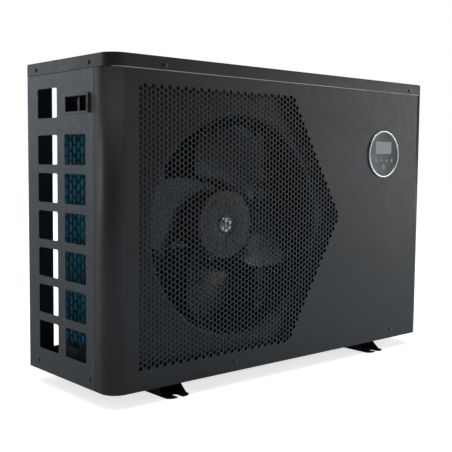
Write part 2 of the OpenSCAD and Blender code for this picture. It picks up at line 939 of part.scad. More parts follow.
module expansion_valve() {
    color("#b08d4a") in_case() translate([eev_x, eev_y, 0]) {
        translate([0, 0, 62]) cylinder(r = 12, h = 44);
        translate([0, 0, 106]) cylinder(r = 19, h = 30);
        translate([0, 0, liquid_z]) rotate([0, 90, 0]) rod(7, 18);
        translate([0, 0, tube_z]) rotate([0, -90, 0]) rod(7, 18);
    }
}

module liquid_pipe_in() {
    y_run = ex_y - ex_r - 6 - bend_r - eev_y;
    color(copper) in_case() {
        translate([ex_x, ex_y - ex_r - 6, liquid_z]) rotate([90, 0, 0]) rod(thin_r, y_run);
        translate([ex_x, eev_y + bend_r, liquid_z]) rotate([0, 0, 180]) rotate([-90, 0, 0])
            quarter_bend(bend_r, thin_r);
        translate([eev_x + 18, eev_y, liquid_z]) rotate([0, 90, 0])
            rod(thin_r, ex_x - bend_r - eev_x - 18);
    }
}

module liquid_pipe_out() {
    x_run = 634;
    y_end = comp_y + 80;
    color(copper) in_case() {
        translate([eev_x - 18, eev_y, tube_z]) rotate([0, -90, 0])
            rod(thin_r, eev_x - 18 - x_run - bend_r);
        translate([x_run, eev_y + bend_r, tube_z]) rotate([90, 0, 0])
            quarter_bend(bend_r, thin_r);
        translate([x_run, eev_y + bend_r, tube_z]) rotate([-90, 0, 0])
            rod(thin_r, y_end - eev_y - 2 * bend_r);
        translate([x_run, y_end - bend_r, tube_z]) rotate([0, 0, 180]) rotate([90, 0, 0])
            quarter_bend(bend_r, thin_r);
        translate([coil_x1 + 0.2, y_end, tube_z]) rotate([0, 90, 0])
            rod(tube_r, x_run - bend_r - coil_x1 - 0.2);
    }
}

// ---------- water exchanger ----------

module exchanger_shell() {
    h = ex_z1 - ex_z0;
    color(pvc_grey) in_case() translate([ex_x, ex_y, 0]) difference() {
        union() {
            translate([0, 0, ex_z0]) cylinder(r = ex_r, h = h);
            for (z = [ex_z0 + 8, ex_z1 - 20]) translate([0, 0, z]) cylinder(r = ex_r + 3, h = 12);
            for (z = [inlet_z, outlet_z]) translate([0, 0, z]) rotate([0, 90, 0])
                cylinder(r = port_r, h = port_end - ex_x);
            translate([0, 0, tee_z]) rotate([0, -90, 0]) cylinder(r = 12, h = ex_r + 8);
            translate([0, 0, liquid_z]) rotate([90, 0, 0]) cylinder(r = 9, h = ex_r + 6);
            for (s = [-1, 1]) translate([s * 30 - 10, -20, sheet_t])
                cube([20, 40, ex_z0 - sheet_t + 1]);
            translate([70, 0, inlet_z]) rod(14, port_r + 6);
        }
        translate([0, 0, ex_z0 + ex_wall]) cylinder(r = ex_r - ex_wall, h = h - 2 * ex_wall);
        for (z = [inlet_z, outlet_z]) {
            translate([20, 0, z]) rotate([0, 90, 0]) cylinder(r = stub_r - 1, h = 61);
            translate([stub_start - ex_x - 0.5, 0, z]) rotate([0, 90, 0])
                cylinder(r = stub_r + 0.3, h = 20);
        }
        translate([70, 0, inlet_z]) rod(8.3, port_r + 10);
    }
}

module titanium_coil() {
    turns = 9;
    ring_r = 34;
    z_step = 34;
    color("#9a9a98") in_case() translate([ex_x, ex_y, ex_z0 + 34]) {
        for (i = [0 : turns - 1]) translate([0, 0, i * z_step])
            rotate_extrude() translate([ring_r, 0]) circle(6.5, $fn = 32);
        translate([-ring_r, 0, -4]) cylinder(r = 4.5, h = (turns - 1) * z_step + 8);
    }
}

module union_bodies() {
    color(pvc_grey) in_case() for (z = [inlet_z, outlet_z]) translate([0, water_y, z])
        rotate([0, 90, 0]) difference() {
            union() {
                translate([0, 0, stub_start]) cylinder(r = stub_r, h = case_w + 3 - stub_start);
                translate([0, 0, case_w + 2]) cylinder(r = thread_r, h = union_l - 2);
            }
            translate([0, 0, stub_start - 1]) cylinder(r = water_r, h = 100);
        }
}

module union_gaskets() {
    color("#101010") in_case() for (z = [inlet_z, outlet_z])
        along_x(case_w + union_l, water_y, z) difference() {
            cylinder(r = 33, h = gasket_t);
            translate([0, 0, -1]) cylinder(r = 26, h = gasket_t + 2);
        }
}

module union_tail(z) {
    x0 = case_w + union_l + gasket_t;
    color(pvc_grey) in_case() along_x(x0, water_y, z) difference() {
        union() {
            cylinder(r = thread_r - 1, h = flange_t);
            cylinder(r = tail_r, h = flange_t + 1 + socket_l);
        }
        translate([0, 0, -1]) cylinder(r = water_r, h = 60);
        translate([0, 0, flange_t + 1]) cylinder(r = socket_d / 2, h = socket_l + 1);
    }
}

module union_nut(z) {
    x0 = case_w + 8;
    lip = x0 + nut_l;
    color(black_plastic) in_case() along_x(x0, water_y, z) difference() {
        union() {
            cylinder(r = nut_r - 2, h = nut_l);
            for (a = [0 : 30 : 330]) rotate([0, 0, a])
                translate([nut_r - 8, -4, 3]) cube([8, 8, nut_l - 6]);
        }
        translate([0, 0, -1]) cylinder(r = thread_r + 0.4, h = case_w + union_l + gasket_t
            + flange_t + 0.3 - x0 + 1);
        translate([0, 0, -1]) cylinder(r = tail_r + 0.5, h = nut_l + 2);
    }
}

module inlet_union_tail() {
    union_tail(inlet_z);
}

module outlet_union_tail() {
    union_tail(outlet_z);
}

module inlet_union_nut() {
    union_nut(inlet_z);
}

module outlet_union_nut() {
    union_nut(outlet_z);
}

// The paddle hangs on a pin below the switch, inside the water inlet
paddle_x = ex_x + 70;
pin_z = inlet_z + 20;

module flow_switch_body() {
    color(black_plastic) in_case() translate([paddle_x, ex_y, 0]) difference() {
        union() {
            translate([0, 0, pin_z + 4]) cylinder(r = 8, h = port_r - 12);
            translate([0, 0, inlet_z + port_r + 6]) rotate([0, 0, 30])
                cylinder(r = 16, h = 8, $fn = 6);
            translate([-14, -14, inlet_z + port_r + 14]) cube([28, 28, 34]);
            for (s = [-1, 1]) translate([-3, s * 5.5 - 1.5, pin_z - 4]) cube([6, 3, 10]);
        }
        translate([0, 20, pin_z]) rotate([90, 0, 0]) rod(1.55, 40);
    }
}

module flow_paddle() {
    color(steel) in_case() translate([paddle_x, ex_y, pin_z]) {
        translate([0, 7, 0]) rotate([90, 0, 0]) rod(1.5, 14);
        translate([0, 3.5, 0]) rotate([90, 0, 0]) rod(2.6, 7);
        translate([-0.6, -3.5, -14]) cube([1.2, 7, 13]);
        translate([-0.6, -11, -38]) cube([1.2, 22, 25]);
    }
}

// ---------- electrical side ----------

module electrical_box() {
    color(steel) in_case() translate([box_x, box_y, box_z]) difference() {
        cube([box_w, box_d, box_h]);
        translate([box_t, -1, box_t])
            cube([box_w - 2 * box_t, box_d - box_t + 1, box_h - 2 * box_t]);
    }
}

module electrical_box_lid() {
    color(steel) in_case() translate([box_x, box_y - box_t, box_z])
        cube([box_w, box_t, box_h]);
}

module inverter_board() {
    color(board_green) in_case() translate([box_x + 14, box_y + box_d - 16, box_z + 12]) {
        cube([box_w - 40, 2, box_h - 24]);
        for (i = [0 : 2]) translate([30 + i * 46, -37, 30])
            rotate([-90, 0, 0]) cylinder(r = 17, h = 37 + eps);
        translate([20, -24, 62]) cube([60, 24 + eps, 34]);
        translate([110, -30, 66]) cube([46, 30 + eps, 34]);
        for (x = [30, 180]) translate([x, 2 - eps, 20]) rotate([-90, 0, 0]) rod(4, 12.5);
    }
}

module heat_sink() {
    color(steel) in_case() translate([box_x + 40, box_y + box_d, box_z + 22]) {
        cube([150, 4, 96]);
        for (i = [0 : 12]) translate([i * 12, 4 - eps, 0]) cube([2, 24, 96]);
    }
}

module terminal_block() {
    color("#d8d8d0") in_case() translate([box_x + box_w, cover_y + 12, cover_z + 20])
        difference() {
            cube([18, 78, 26]);
            for (i = [0 : 5]) {
                translate([10, 5 + i * 12, -1]) cube([9, 9, 10]);
                translate([2, 9.5 + i * 12, 19]) rotate([0, 90, 0]) rod(3, 20);
            }
        }
}

module cable_gland() {
    color(black_plastic) in_case() along_x(case_w, gland_y, gland_z) difference() {
        union() {
            translate([0, 0, -12]) cylinder(r = 8, h = 14);
            cylinder(r = 13, h = 6, $fn = 6);
            translate([0, 0, 6 - eps]) cylinder(r = 11, h = 12);
            translate([0, 0, -sheet_t - 5]) cylinder(r = 12.5, h = 5, $fn = 6);
        }
        translate([0, 0, -13]) cylinder(r = 5.5, h = 40);
    }
}

module service_cover() {
    color(paint_side) in_case() {
        translate([0, cover_y, cover_z]) sheet_yz(case_w, 1.2) round_rect(cover_w, cover_h, 4);
        for (z = [cover_z + 5, cover_z + cover_h - 5], y = [cover_y + 5, cover_y + cover_w - 5])
            along_x(case_w - 4, y, z) rod(1.1, 6.2);
    }
}

// ---------- controller ----------

module controller_bezel() {
    color("#d9dbdc") in_case() along_y(ctrl_x, -4, ctrl_z) rotate_extrude()
        translate([ctrl_d / 2 - 5.2, 0]) {
            square([5.2, 4]);
        }
}

module controller_body() {
    r = ctrl_d / 2 - 5.4;
    color(black_plastic) in_case() along_y(ctrl_x, -2.6, ctrl_z) {
        cylinder(r = r, h = 26);
        translate([0, 0, 2.6 + sheet_t + 0.2]) cylinder(r = r + 6, h = 3);
    }
}

display_w = 58;
display_h = 28.6;
display_x = ctrl_x - 2;
display_z = ctrl_z + 14.8;
key_z = ctrl_z - 15.5;
key_pitch = 19.2;

module controller_display() {
    t = 0.5;
    color("#8d99ad") in_case() {
        translate([display_x - display_w / 2, 0, display_z - display_h / 2])
            sheet_xz(-2.6 - t, t) round_rect(display_w, display_h, 2);
        for (i = [0 : 3]) translate([ctrl_x - 28 + i * key_pitch, 0, key_z])
            sheet_xz(-2.6 - t, t) difference() {
                circle(4, $fn = 32);
                circle(2.8, $fn = 32);
            }
        translate([ctrl_x - 1, 0, ctrl_z - 30.5]) sheet_xz(-2.6 - t, t) difference() {
            circle(4.6, $fn = 32);
            circle(3.2, $fn = 32);
        }
    }
}

base_pan();
foot_left();
foot_right();
front_panel();
left_side_panel();
right_side_panel();
rear_panel();
top_cover();
handle_left();
handle_right();
partition_plate();
fan_orifice();
orifice_screws();
motor_bracket();
motor_housing();
motor_screws();
fan_shaft();
fan_impeller();
fan_nut();
evaporator_fins();
evaporator_tubes();
evaporator_end_plates();
evaporator_net();
coil_plinth();
rear_coil_guard();
compressor();
compressor_grommets();
compressor_bolts();
accumulator();
suction_pipe();
discharge_pipe();
four_way_valve();
valve_solenoid();
evaporator_pipe();
condenser_pipe();
expansion_valve();
liquid_pipe_in();
liquid_pipe_out();
exchanger_shell();
titanium_coil();
union_bodies();
union_gaskets();
inlet_union_tail();
inlet_union_nut();
outlet_union_tail();
outlet_union_nut();
flow_switch_body();
flow_paddle();
electrical_box();
electrical_box_lid();
inverter_board();
heat_sink();
terminal_block();
cable_gland();
service_cover();
controller_bezel();
controller_body();
controller_display();
drain_nozzle();
cover_screws();
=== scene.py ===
"""Looks of a pool heat pump: fine sheet metal, fan, coil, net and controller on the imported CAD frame."""
import json
import math

import bmesh
import bpy
from mathutils import Matrix, Vector
from mathutils.geometry import tessellate_polygon

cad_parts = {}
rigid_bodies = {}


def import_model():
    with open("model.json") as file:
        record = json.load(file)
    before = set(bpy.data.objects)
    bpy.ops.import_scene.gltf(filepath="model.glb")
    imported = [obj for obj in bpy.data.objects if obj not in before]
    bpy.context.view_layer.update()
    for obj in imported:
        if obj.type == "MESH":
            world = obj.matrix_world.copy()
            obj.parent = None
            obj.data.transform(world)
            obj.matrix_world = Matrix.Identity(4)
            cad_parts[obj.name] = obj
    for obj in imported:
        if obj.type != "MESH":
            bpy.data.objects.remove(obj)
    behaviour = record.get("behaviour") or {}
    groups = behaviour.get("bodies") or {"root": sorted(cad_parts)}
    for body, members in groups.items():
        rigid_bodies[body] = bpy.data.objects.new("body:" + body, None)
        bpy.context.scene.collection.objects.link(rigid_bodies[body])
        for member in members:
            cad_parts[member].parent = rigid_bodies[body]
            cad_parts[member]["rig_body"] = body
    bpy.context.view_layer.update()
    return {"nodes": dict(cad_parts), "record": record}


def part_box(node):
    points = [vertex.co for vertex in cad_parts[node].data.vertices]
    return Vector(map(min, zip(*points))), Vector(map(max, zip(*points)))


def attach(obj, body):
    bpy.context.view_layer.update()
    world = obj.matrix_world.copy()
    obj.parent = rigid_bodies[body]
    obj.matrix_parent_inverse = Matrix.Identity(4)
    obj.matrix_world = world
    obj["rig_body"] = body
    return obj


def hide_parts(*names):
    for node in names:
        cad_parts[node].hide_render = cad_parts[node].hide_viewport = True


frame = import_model()

MM = 0.001
PI = math.pi

# ---------------------------------------------------------------- measures, in mm from the casing's corner
panel_lo, panel_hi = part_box("front_panel")
rear_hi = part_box("rear_panel")[1]
lid_lo, lid_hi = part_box("top_cover")
CORNER = panel_lo.copy()


def mm_box(node):
    """A CAD node's box in millimetres from the casing's lower front left corner."""
    lo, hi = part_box(node)
    return (lo - CORNER) / MM, (hi - CORNER) / MM


def at(x, y, z):
    """A point in metres from casing millimetres."""
    return CORNER + Vector((x, y, z)) * MM


CASE_W = (panel_hi.x - panel_lo.x) / MM
CASE_D = (rear_hi.y - panel_lo.y) / MM
WRAP_D = (panel_hi.y - panel_lo.y) / MM
CASE_H = (lid_hi.z - panel_lo.z) / MM
LID_Z = (lid_lo.z - panel_lo.z) / MM
LID_D = (lid_hi.y - panel_lo.y) / MM
SEAM = 0.8
PANEL_TOP = LID_Z - SEAM
CORNER_R = 32.0
SHEET = 1.5
RETURN_GAP = 0.35

# how near two points are one, in metres
WELD = 0.000002
FINE_WELD = 0.000001

# ---------------------------------------------------------------- camera, in metres, degrees and lens mm
CAMERA_PLACE = (-1.2541, -1.3725, 0.4596)
CAMERA_AZIMUTH = 41.066
CAMERA_PITCH = -4.595
CAMERA_ROLL = 0.524
CAMERA_LENS = 64.75


def make_camera():
    cam = bpy.data.objects.new("camera", bpy.data.cameras.new("camera"))
    bpy.context.scene.collection.objects.link(cam)
    turn = (Matrix.Rotation(-math.radians(CAMERA_AZIMUTH), 4, "Z")
            @ Matrix.Rotation(math.radians(90 + CAMERA_PITCH), 4, "X")
            @ Matrix.Rotation(math.radians(CAMERA_ROLL), 4, "Z"))
    cam.matrix_world = Matrix.Translation(CAMERA_PLACE) @ turn
    cam.data.lens = CAMERA_LENS
    cam.data.sensor_width = 36.0
    cam.data.clip_start = 0.01
    cam.data.clip_end = 100.0
    bpy.context.scene.camera = cam


# ---------------------------------------------------------------- materials
class Shader:
    """A node material built step by step around one Principled shader."""

    def __init__(self, name):
        self.mat = bpy.data.materials.new(name)
        self.mat.use_nodes = True
        self.tree = self.mat.node_tree
        self.bsdf = self.tree.nodes["Principled BSDF"]
        self.coord = self.tree.nodes.new("ShaderNodeTexCoord").outputs["Object"]

    def node(self, kind, **settings):
        made = self.tree.nodes.new(kind)
        for key, value in settings.items():
            setattr(made, key, value)
        return made

    def link(self, a, b):
        self.tree.links.new(a, b)

    def noise(self, scale, detail=3.0, rough=0.55, stretch=None):
        made = self.node("ShaderNodeTexNoise")
        made.inputs["Scale"].default_value = scale
        made.inputs["Detail"].default_value = detail
        made.inputs["Roughness"].default_value = rough
        source = self.coord
        if stretch:
            mapping = self.node("ShaderNodeMapping")
            mapping.inputs["Scale"].default_value = stretch
            self.link(source, mapping.inputs["Vector"])
            source = mapping.outputs["Vector"]
        self.link(source, made.inputs["Vector"])
        return made.outputs["Fac"]

    def remap(self, value, low, high, start=0.3, end=0.7):
        made = self.node("ShaderNodeMapRange")
        made.inputs["From Min"].default_value = start
        made.inputs["From Max"].default_value = end
        made.inputs["To Min"].default_value = low
        made.inputs["To Max"].default_value = high
        self.link(value, made.inputs["Value"])
        return made.outputs["Result"]

    def blend(self, factor, a, b):
        made = self.node("ShaderNodeMix", data_type="RGBA")
        self.link(factor, made.inputs["Factor"])
        for socket, value in ((made.inputs["A"], a), (made.inputs["B"], b)):
            if isinstance(value, tuple):
                socket.default_value = (*value, 1.0)
            else:
                self.link(value, socket)
        return made.outputs["Result"]

    def bump(self, height, distance):
        made = self.node("ShaderNodeBump")
        made.inputs["Strength"].default_value = 1.0
        made.inputs["Distance"].default_value = distance
        self.link(height, made.inputs["Height"])
        return made.outputs["Normal"]

    def edges(self):
        """Near 1 on outer edges: where handling wears the finish, and where the lightening also stands as a
        painted highlight of light catching the edge.
        """
        geometry = self.node("ShaderNodeNewGeometry")
        return self.remap(geometry.outputs["Pointiness"], 0.0, 1.0, 0.52, 0.62)

    def finish(self, colour=None, rough=None, normal=None):
        for name, value in (("Base Color", colour), ("Roughness", rough), ("Normal", normal)):
            if value is not None:
                self.link(value, self.bsdf.inputs[name])
        return self.mat


def shade(rgb, factor):
    """A colour made lighter or darker."""
    return tuple(min(1.0, c * factor) for c in rgb)


def powder_coat(name, rgb, rough, shine=0.23):
    """Stoved polyester powder: fine orange peel, faint cloudy tone, edges lighter for wear and as a painted
    edge highlight.
    """
    s = Shader(name)
    cloud = s.noise(6.0, 2.0)
    dust = s.noise(70.0, 4.0, 0.7)
    peel = s.noise(950.0, 2.0, 0.5)
    speck = s.noise(2600.0, 1.0, 0.4)
    tone = s.blend(s.remap(cloud, 0.0, 1.0), shade(rgb, 0.93), shade(rgb, 1.07))
    tone = s.blend(s.remap(speck, 0.0, 0.5, 0.55, 0.75), tone, shade(rgb, 1.35))
    # edges lighter: wear, and a painted highlight where light would catch them
    tone = s.blend(s.edges(), tone, shade(rgb, 1.7))
    s.bsdf.inputs["Specular IOR Level"].default_value = shine
    return s.finish(tone, s.remap(dust, rough - 0.05, rough + 0.07), s.bump(peel, 0.00006))


def moulded(name, rgb, rough, grain=0.00005, scale=1400.0, shine=0.5):
    """Moulded plastic: fine spark-eroded grain, flow marks, edges lighter where rubbed and as a painted edge
    highlight.
    """
    s = Shader(name)
    flow = s.noise(18.0, 3.0, 0.6, (1.0, 1.0, 0.25))
    grit = s.noise(scale, 2.0, 0.6)
    smudge = s.noise(45.0, 4.0, 0.65)
    tone = s.blend(s.remap(flow, 0.0, 1.0), shade(rgb, 0.88), shade(rgb, 1.1))
    # edges lighter: rubbing, and a painted highlight where light would catch them
    tone = s.blend(s.edges(), tone, shade(rgb, 1.5))
    s.bsdf.inputs["Specular IOR Level"].default_value = shine
    return s.finish(tone, s.remap(smudge, rough - 0.07, rough + 0.08), s.bump(grit, grain))


def bare_metal(name, rgb, rough, spangle=False, grain=0.00004):
    """Uncoated metal: drawing lines or zinc spangle, tarnish in patches."""
    s = Shader(name)
    lines = s.noise(840.0, 3.0, 0.6, (1.0, 1.0, 6.0))
    patch = s.noise(24.0, 4.0, 0.6)
    tone = s.blend(s.remap(patch, 0.0, 1.0), shade(rgb, 0.78), rgb)
    if spangle:
        cells = s.node("ShaderNodeTexVoronoi", feature="F1")
        cells.inputs["Scale"].default_value = 130.0
        s.link(s.coord, cells.inputs["Vector"])
        grey = s.node("ShaderNodeRGBToBW")
        s.link(cells.outputs["Color"], grey.inputs["Color"])
        tone = s.blend(s.remap(grey.outputs["Val"], 0.0, 0.35, 0.2, 0.8), tone, shade(rgb, 1.25))
    s.bsdf.inputs["Metallic"].default_value = 1.0
    return s.finish(tone, s.remap(lines, rough - 0.08, rough + 0.1), s.bump(lines, grain))


def fin_stock(name, rgb):
    """Aluminium fins under a blue hydrophilic lacquer, darker where water has dried."""
    s = Shader(name)
    streak = s.noise(40.0, 4.0, 0.65, (1.0, 1.0, 0.2))
    ripple = s.noise(700.0, 2.0, 0.5, (1.0, 1.0, 0.4))
    tone = s.blend(s.remap(streak, 0.0, 1.0), shade(rgb, 0.62), shade(rgb, 1.18))
    s.bsdf.inputs["Metallic"].default_value = 0.1
    return s.finish(tone, s.remap(ripple, 0.32, 0.5), s.bump(ripple, 0.00006))


def lcd_glass(name, rgb):
    """Display window: pale liquid crystal under glass with a faint pixel grid and a faint cloudy haze."""
    s = Shader(name)
    grid = s.noise(240.0, 1.0, 0.5, (1.0, 1.0, 3.0))
    haze = s.noise(22.0, 2.0)
    tone = s.blend(s.remap(haze, 0.0, 1.0), shade(rgb, 0.9), shade(rgb, 1.08))
    # the display glows faintly: painted light that makes the window look pale and lit
    s.bsdf.inputs["Emission Color"].default_value = (*rgb, 1.0)
    s.bsdf.inputs["Emission Strength"].default_value = 0.6
    return s.finish(tone, s.remap(grid, 0.5, 0.58), s.bump(grid, 0.00001))


# One powder coat in two copies: the side copy is lighter, bluer and a touch glossier as painted light for the
# bluish light on the left side; the front copy is the darker one.
PAINT_FRONT_DARK_COPY = (0.016, 0.0162, 0.0166)
PAINT_SIDE_LIT_COPY = (0.024, 0.0265, 0.031)
MATERIALS = {
    "paint_front": powder_coat("paint_front", PAINT_FRONT_DARK_COPY, 0.46),
    "paint_side": powder_coat("paint_side", PAINT_SIDE_LIT_COPY, 0.48, shine=0.4),
    "black_steel": powder_coat("black_steel", (0.008, 0.008, 0.009), 0.42),
    "black_plastic": moulded("black_plastic", (0.006, 0.0062, 0.0068), 0.5),
    "dark_plastic": moulded("dark_plastic", (0.026, 0.0265, 0.027), 0.42, grain=0.00003),
    # bright blue fins: partly the lacquer's own blue, partly painted light for the lit side leg
    "blue_fin": fin_stock("blue_fin", (0.01, 0.5, 0.72)),
    "copper": bare_metal("copper", (0.72, 0.36, 0.2), 0.34),
    "galvanised": bare_metal("galvanised", (0.34, 0.345, 0.35), 0.5, spangle=True),
    "pvc_grey": moulded("pvc_grey", (0.26, 0.28, 0.3), 0.4),
    "rubber_black": moulded("rubber_black", (0.012, 0.012, 0.012), 0.75, scale=700.0),
    "titanium": bare_metal("titanium", (0.46, 0.44, 0.42), 0.38),
    "brass": bare_metal("brass", (0.62, 0.45, 0.2), 0.34),
    "board_green": moulded("board_green", (0.02, 0.11, 0.05), 0.3),
    "terminal_white": moulded("terminal_white", (0.66, 0.66, 0.62), 0.5),
    "chrome_ring": bare_metal("chrome_ring", (0.62, 0.63, 0.64), 0.34, grain=0.00001),
    "panel_black": moulded("panel_black", (0.022, 0.023, 0.024), 0.46, grain=0.00001, shine=0.35),
    "lcd": lcd_glass("lcd", (0.12, 0.123, 0.135)),
}
SCREW_BLACK = bare_metal("screw_black", (0.07, 0.075, 0.085), 0.26)
# darker copy of the blue fins for the coil's back: painted shade for the dark inside of the casing
FIN_PAINTED_SHADE = fin_stock("fin_painted_shade", (0.006, 0.09, 0.15))
# dark plastic with a blue tint: partly the plastic's own tone, partly painted sheen for the bluish light the
# blades reflect
BLADE_PLASTIC = moulded("blade_plastic", (0.006, 0.0072, 0.009), 0.27, grain=0.00002)
NET_PLASTIC = moulded("net_plastic", (0.003, 0.003, 0.0032), 0.6, shine=0.1)
# fan plate darker than its own dark plastic: painted shade for the plate seen behind the hole field
ORIFICE_PAINTED_SHADE = powder_coat("orifice_painted_shade", (0.005, 0.0055, 0.0065), 0.38, shine=0.3)
# pale copy of the paint for the sheet's cut walls and hole walls: a painted highlight of light catching the
# hole edges
PAINT_EDGE_HIGHLIGHT = powder_coat("paint_edge_highlight", (0.14, 0.15, 0.165), 0.4, shine=0.5)
BRIGHT_STEEL = bare_metal("bright_steel", (0.75, 0.76, 0.77), 0.2)
ICON_WHITE = moulded("icon_white", (0.3, 0.31, 0.32), 0.45, grain=0.00001)
# pale white for the seam strip: a bare cut edge, and a painted highlight of the bright line along the seam
SEAM_HIGHLIGHT_PAINT = moulded("seam_highlight_paint", (0.72, 0.73, 0.72), 0.5, grain=0.00001)

slot_of = {part["node"]: part["material_slot"] for part in frame["record"]["subparts"]}


# ---------------------------------------------------------------- mesh helpers
def body_of_node(node):
    return frame["nodes"][node]["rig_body"]


def place(name, mesh, slot, body="casing", nodes=(), material=None, smooth=35.0, bevel=0.0,
          thickness=0.0, segments=2, weigh=False):
    """Shows a mesh as one visible piece that rides with a body."""
    piece = bpy.data.objects.new(name, mesh)
    bpy.context.scene.collection.objects.link(piece)
    mesh.materials.clear()
    mesh.materials.append(material or MATERIALS[slot])
    mesh.shade_smooth()
    mesh.set_sharp_from_angle(angle=math.radians(smooth))
    if thickness:
        wall = piece.modifiers.new("wall", "SOLIDIFY")
        wall.thickness = thickness * MM
        wall.offset = -1.0
        wall.use_even_offset = True
    if bevel:
        edge = piece.modifiers.new("edge", "BEVEL")
        edge.width = bevel * MM
        edge.segments = segments
        edge.limit_method = "ANGLE"
        edge.angle_limit = math.radians(30)
        edge.harden_normals = True
        edge.use_clamp_overlap = True
    if weigh:
        even = piece.modifiers.new("even", "WEIGHTED_NORMAL")
        even.keep_sharp = True
    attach(piece, body)
    if nodes:
        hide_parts(*nodes)
    return piece


def mesh_from(name, verts, faces):
    """A mesh from points in casing millimetres."""
    mesh = bpy.data.meshes.new(name)
    mesh.from_pydata([at(*v) for v in verts], [], faces)
    mesh.validate()
    mesh.update()
    return mesh


def weld(mesh, distance, turn_out=False):
    """Merges points that meet, and turns faces outward if asked."""
    work = bmesh.new()
    work.from_mesh(mesh)
    bmesh.ops.remove_doubles(work, verts=work.verts, dist=distance)
    if turn_out:
        bmesh.ops.recalc_face_normals(work, faces=work.faces)
    work.to_mesh(mesh)
    work.free()
    return mesh


def refine(node, bevel=0.4, material=None, smooth=35.0):
    """A copy of a CAD node with clean faces and rolled edges, shown in its place."""
    mesh = frame["nodes"][node].data.copy()
    work = bmesh.new()
    work.from_mesh(mesh)
    bmesh.ops.remove_doubles(work, verts=work.verts, dist=WELD)
    bmesh.ops.dissolve_limit(work, angle_limit=math.radians(1.0), verts=work.verts, edges=work.edges)
    work.to_mesh(mesh)
    work.free()
    mesh.name = node + "_fine"
    return place(node + "_fine", mesh, slot_of[node], body_of_node(node), (node,), material,
                 smooth, bevel, weigh=True)


class Parts:
    """Collects points and faces of one mesh, in casing millimetres."""

    def __init__(self):
        self.verts, self.faces = [], []

    def add(self, verts, faces):
        start = len(self.verts)
        self.verts += verts
        self.faces += [tuple(start + i for i in f) for f in faces]

    def box(self, x0, x1, y0, y1, z0, z1):
        corners = [(x, y, z) for x in (x0, x1) for y in (y0, y1) for z in (z0, z1)]
        self.add(corners, [(0, 1, 3, 2), (4, 6, 7, 5), (0, 4, 5, 1), (2, 3, 7, 6), (0, 2, 6, 4),
                           (1, 5, 7, 3)])

    def rings(self, loops, close=True, cap_first=False, cap_last=False):
        """Joins equal loops of points one after the other."""
        n = len(loops[0])
        faces = []
        last = n if close else n - 1
        for k in range(len(loops) - 1):
            for i in range(last):
                j = (i + 1) % n
                faces.append((k * n + i, k * n + j, (k + 1) * n + j, (k + 1) * n + i))
        if cap_first:
            faces.append(tuple(reversed(range(n))))
        if cap_last:
            faces.append(tuple((len(loops) - 1) * n + i for i in range(n)))
        self.add([p for loop in loops for p in loop], faces)

    def lathe(self, centre, profile, steps=72, axis="Y"):
        """Turns (radius, along) points about the Y or X axis through centre."""
        loops = []
        for radius, along in profile:
            loop = []
            for i in range(steps):
                a = 2 * PI * i / steps
                u, w = radius * math.cos(a), radius * math.sin(a)
                if axis == "Y":
                    loop.append((centre[0] + u, centre[1] + along, centre[2] + w))
                else:
                    loop.append((centre[0] + along, centre[1] + u, centre[2] + w))
            loops.append(loop)
        self.rings(loops)

    def tube(self, path, radius, sides=10):
        """A round rod along points."""
        loops = []
        for i, p in enumerate(path):
            a, b = Vector(path[max(i - 1, 0)]), Vector(path[min(i + 1, len(path) - 1)])
            ahead = (b - a).normalized()
            side = ahead.cross(Vector((0, 0, 1)))
            side = side.normalized() if side.length > 1e-3 else Vector((1, 0, 0))
            up = side.cross(ahead)
            loops.append([tuple(Vector(p) + (side * math.cos(t) + up * math.sin(t)) * radius)
                          for t in (2 * PI * k / sides for k in range(sides))])
        self.rings(loops, cap_first=True, cap_last=True)

    def mesh(self, name):
        return weld(mesh_from(name, self.verts, self.faces), FINE_WELD, turn_out=True)


def arc(cx, cy, r, a0, a1, steps):
    """Points on a circle from angle a0 to a1, in degrees."""
    return [(cx + r * math.cos(math.radians(a0 + (a1 - a0) * i / steps)),
             cy + r * math.sin(math.radians(a0 + (a1 - a0) * i / steps))) for i in range(steps + 1)]


def rounded(u0, u1, w0, w1, r, steps=5):
    """A rectangle with round corners, counterclockwise."""
    return (arc(u1 - r, w0 + r, r, -90, 0, steps) + arc(u1 - r, w1 - r, r, 0, 90, steps)
            + arc(u0 + r, w1 - r, r, 90, 180, steps) + arc(u0 + r, w0 + r, r, 180, 270, steps))


# ---------------------------------------------------------------- honeycomb sheets
KEYS_PER_MM = 50


def hexagon(dx, dz):
    """Corners of a cell about its centre, for columns dx and rows dz apart."""
    a = dx * 2 / 3
    return [(a, 0), (a / 2, dz / 2), (-a / 2, dz / 2), (-a, 0), (-a / 2, -dz / 2), (a / 2, -dz / 2)]


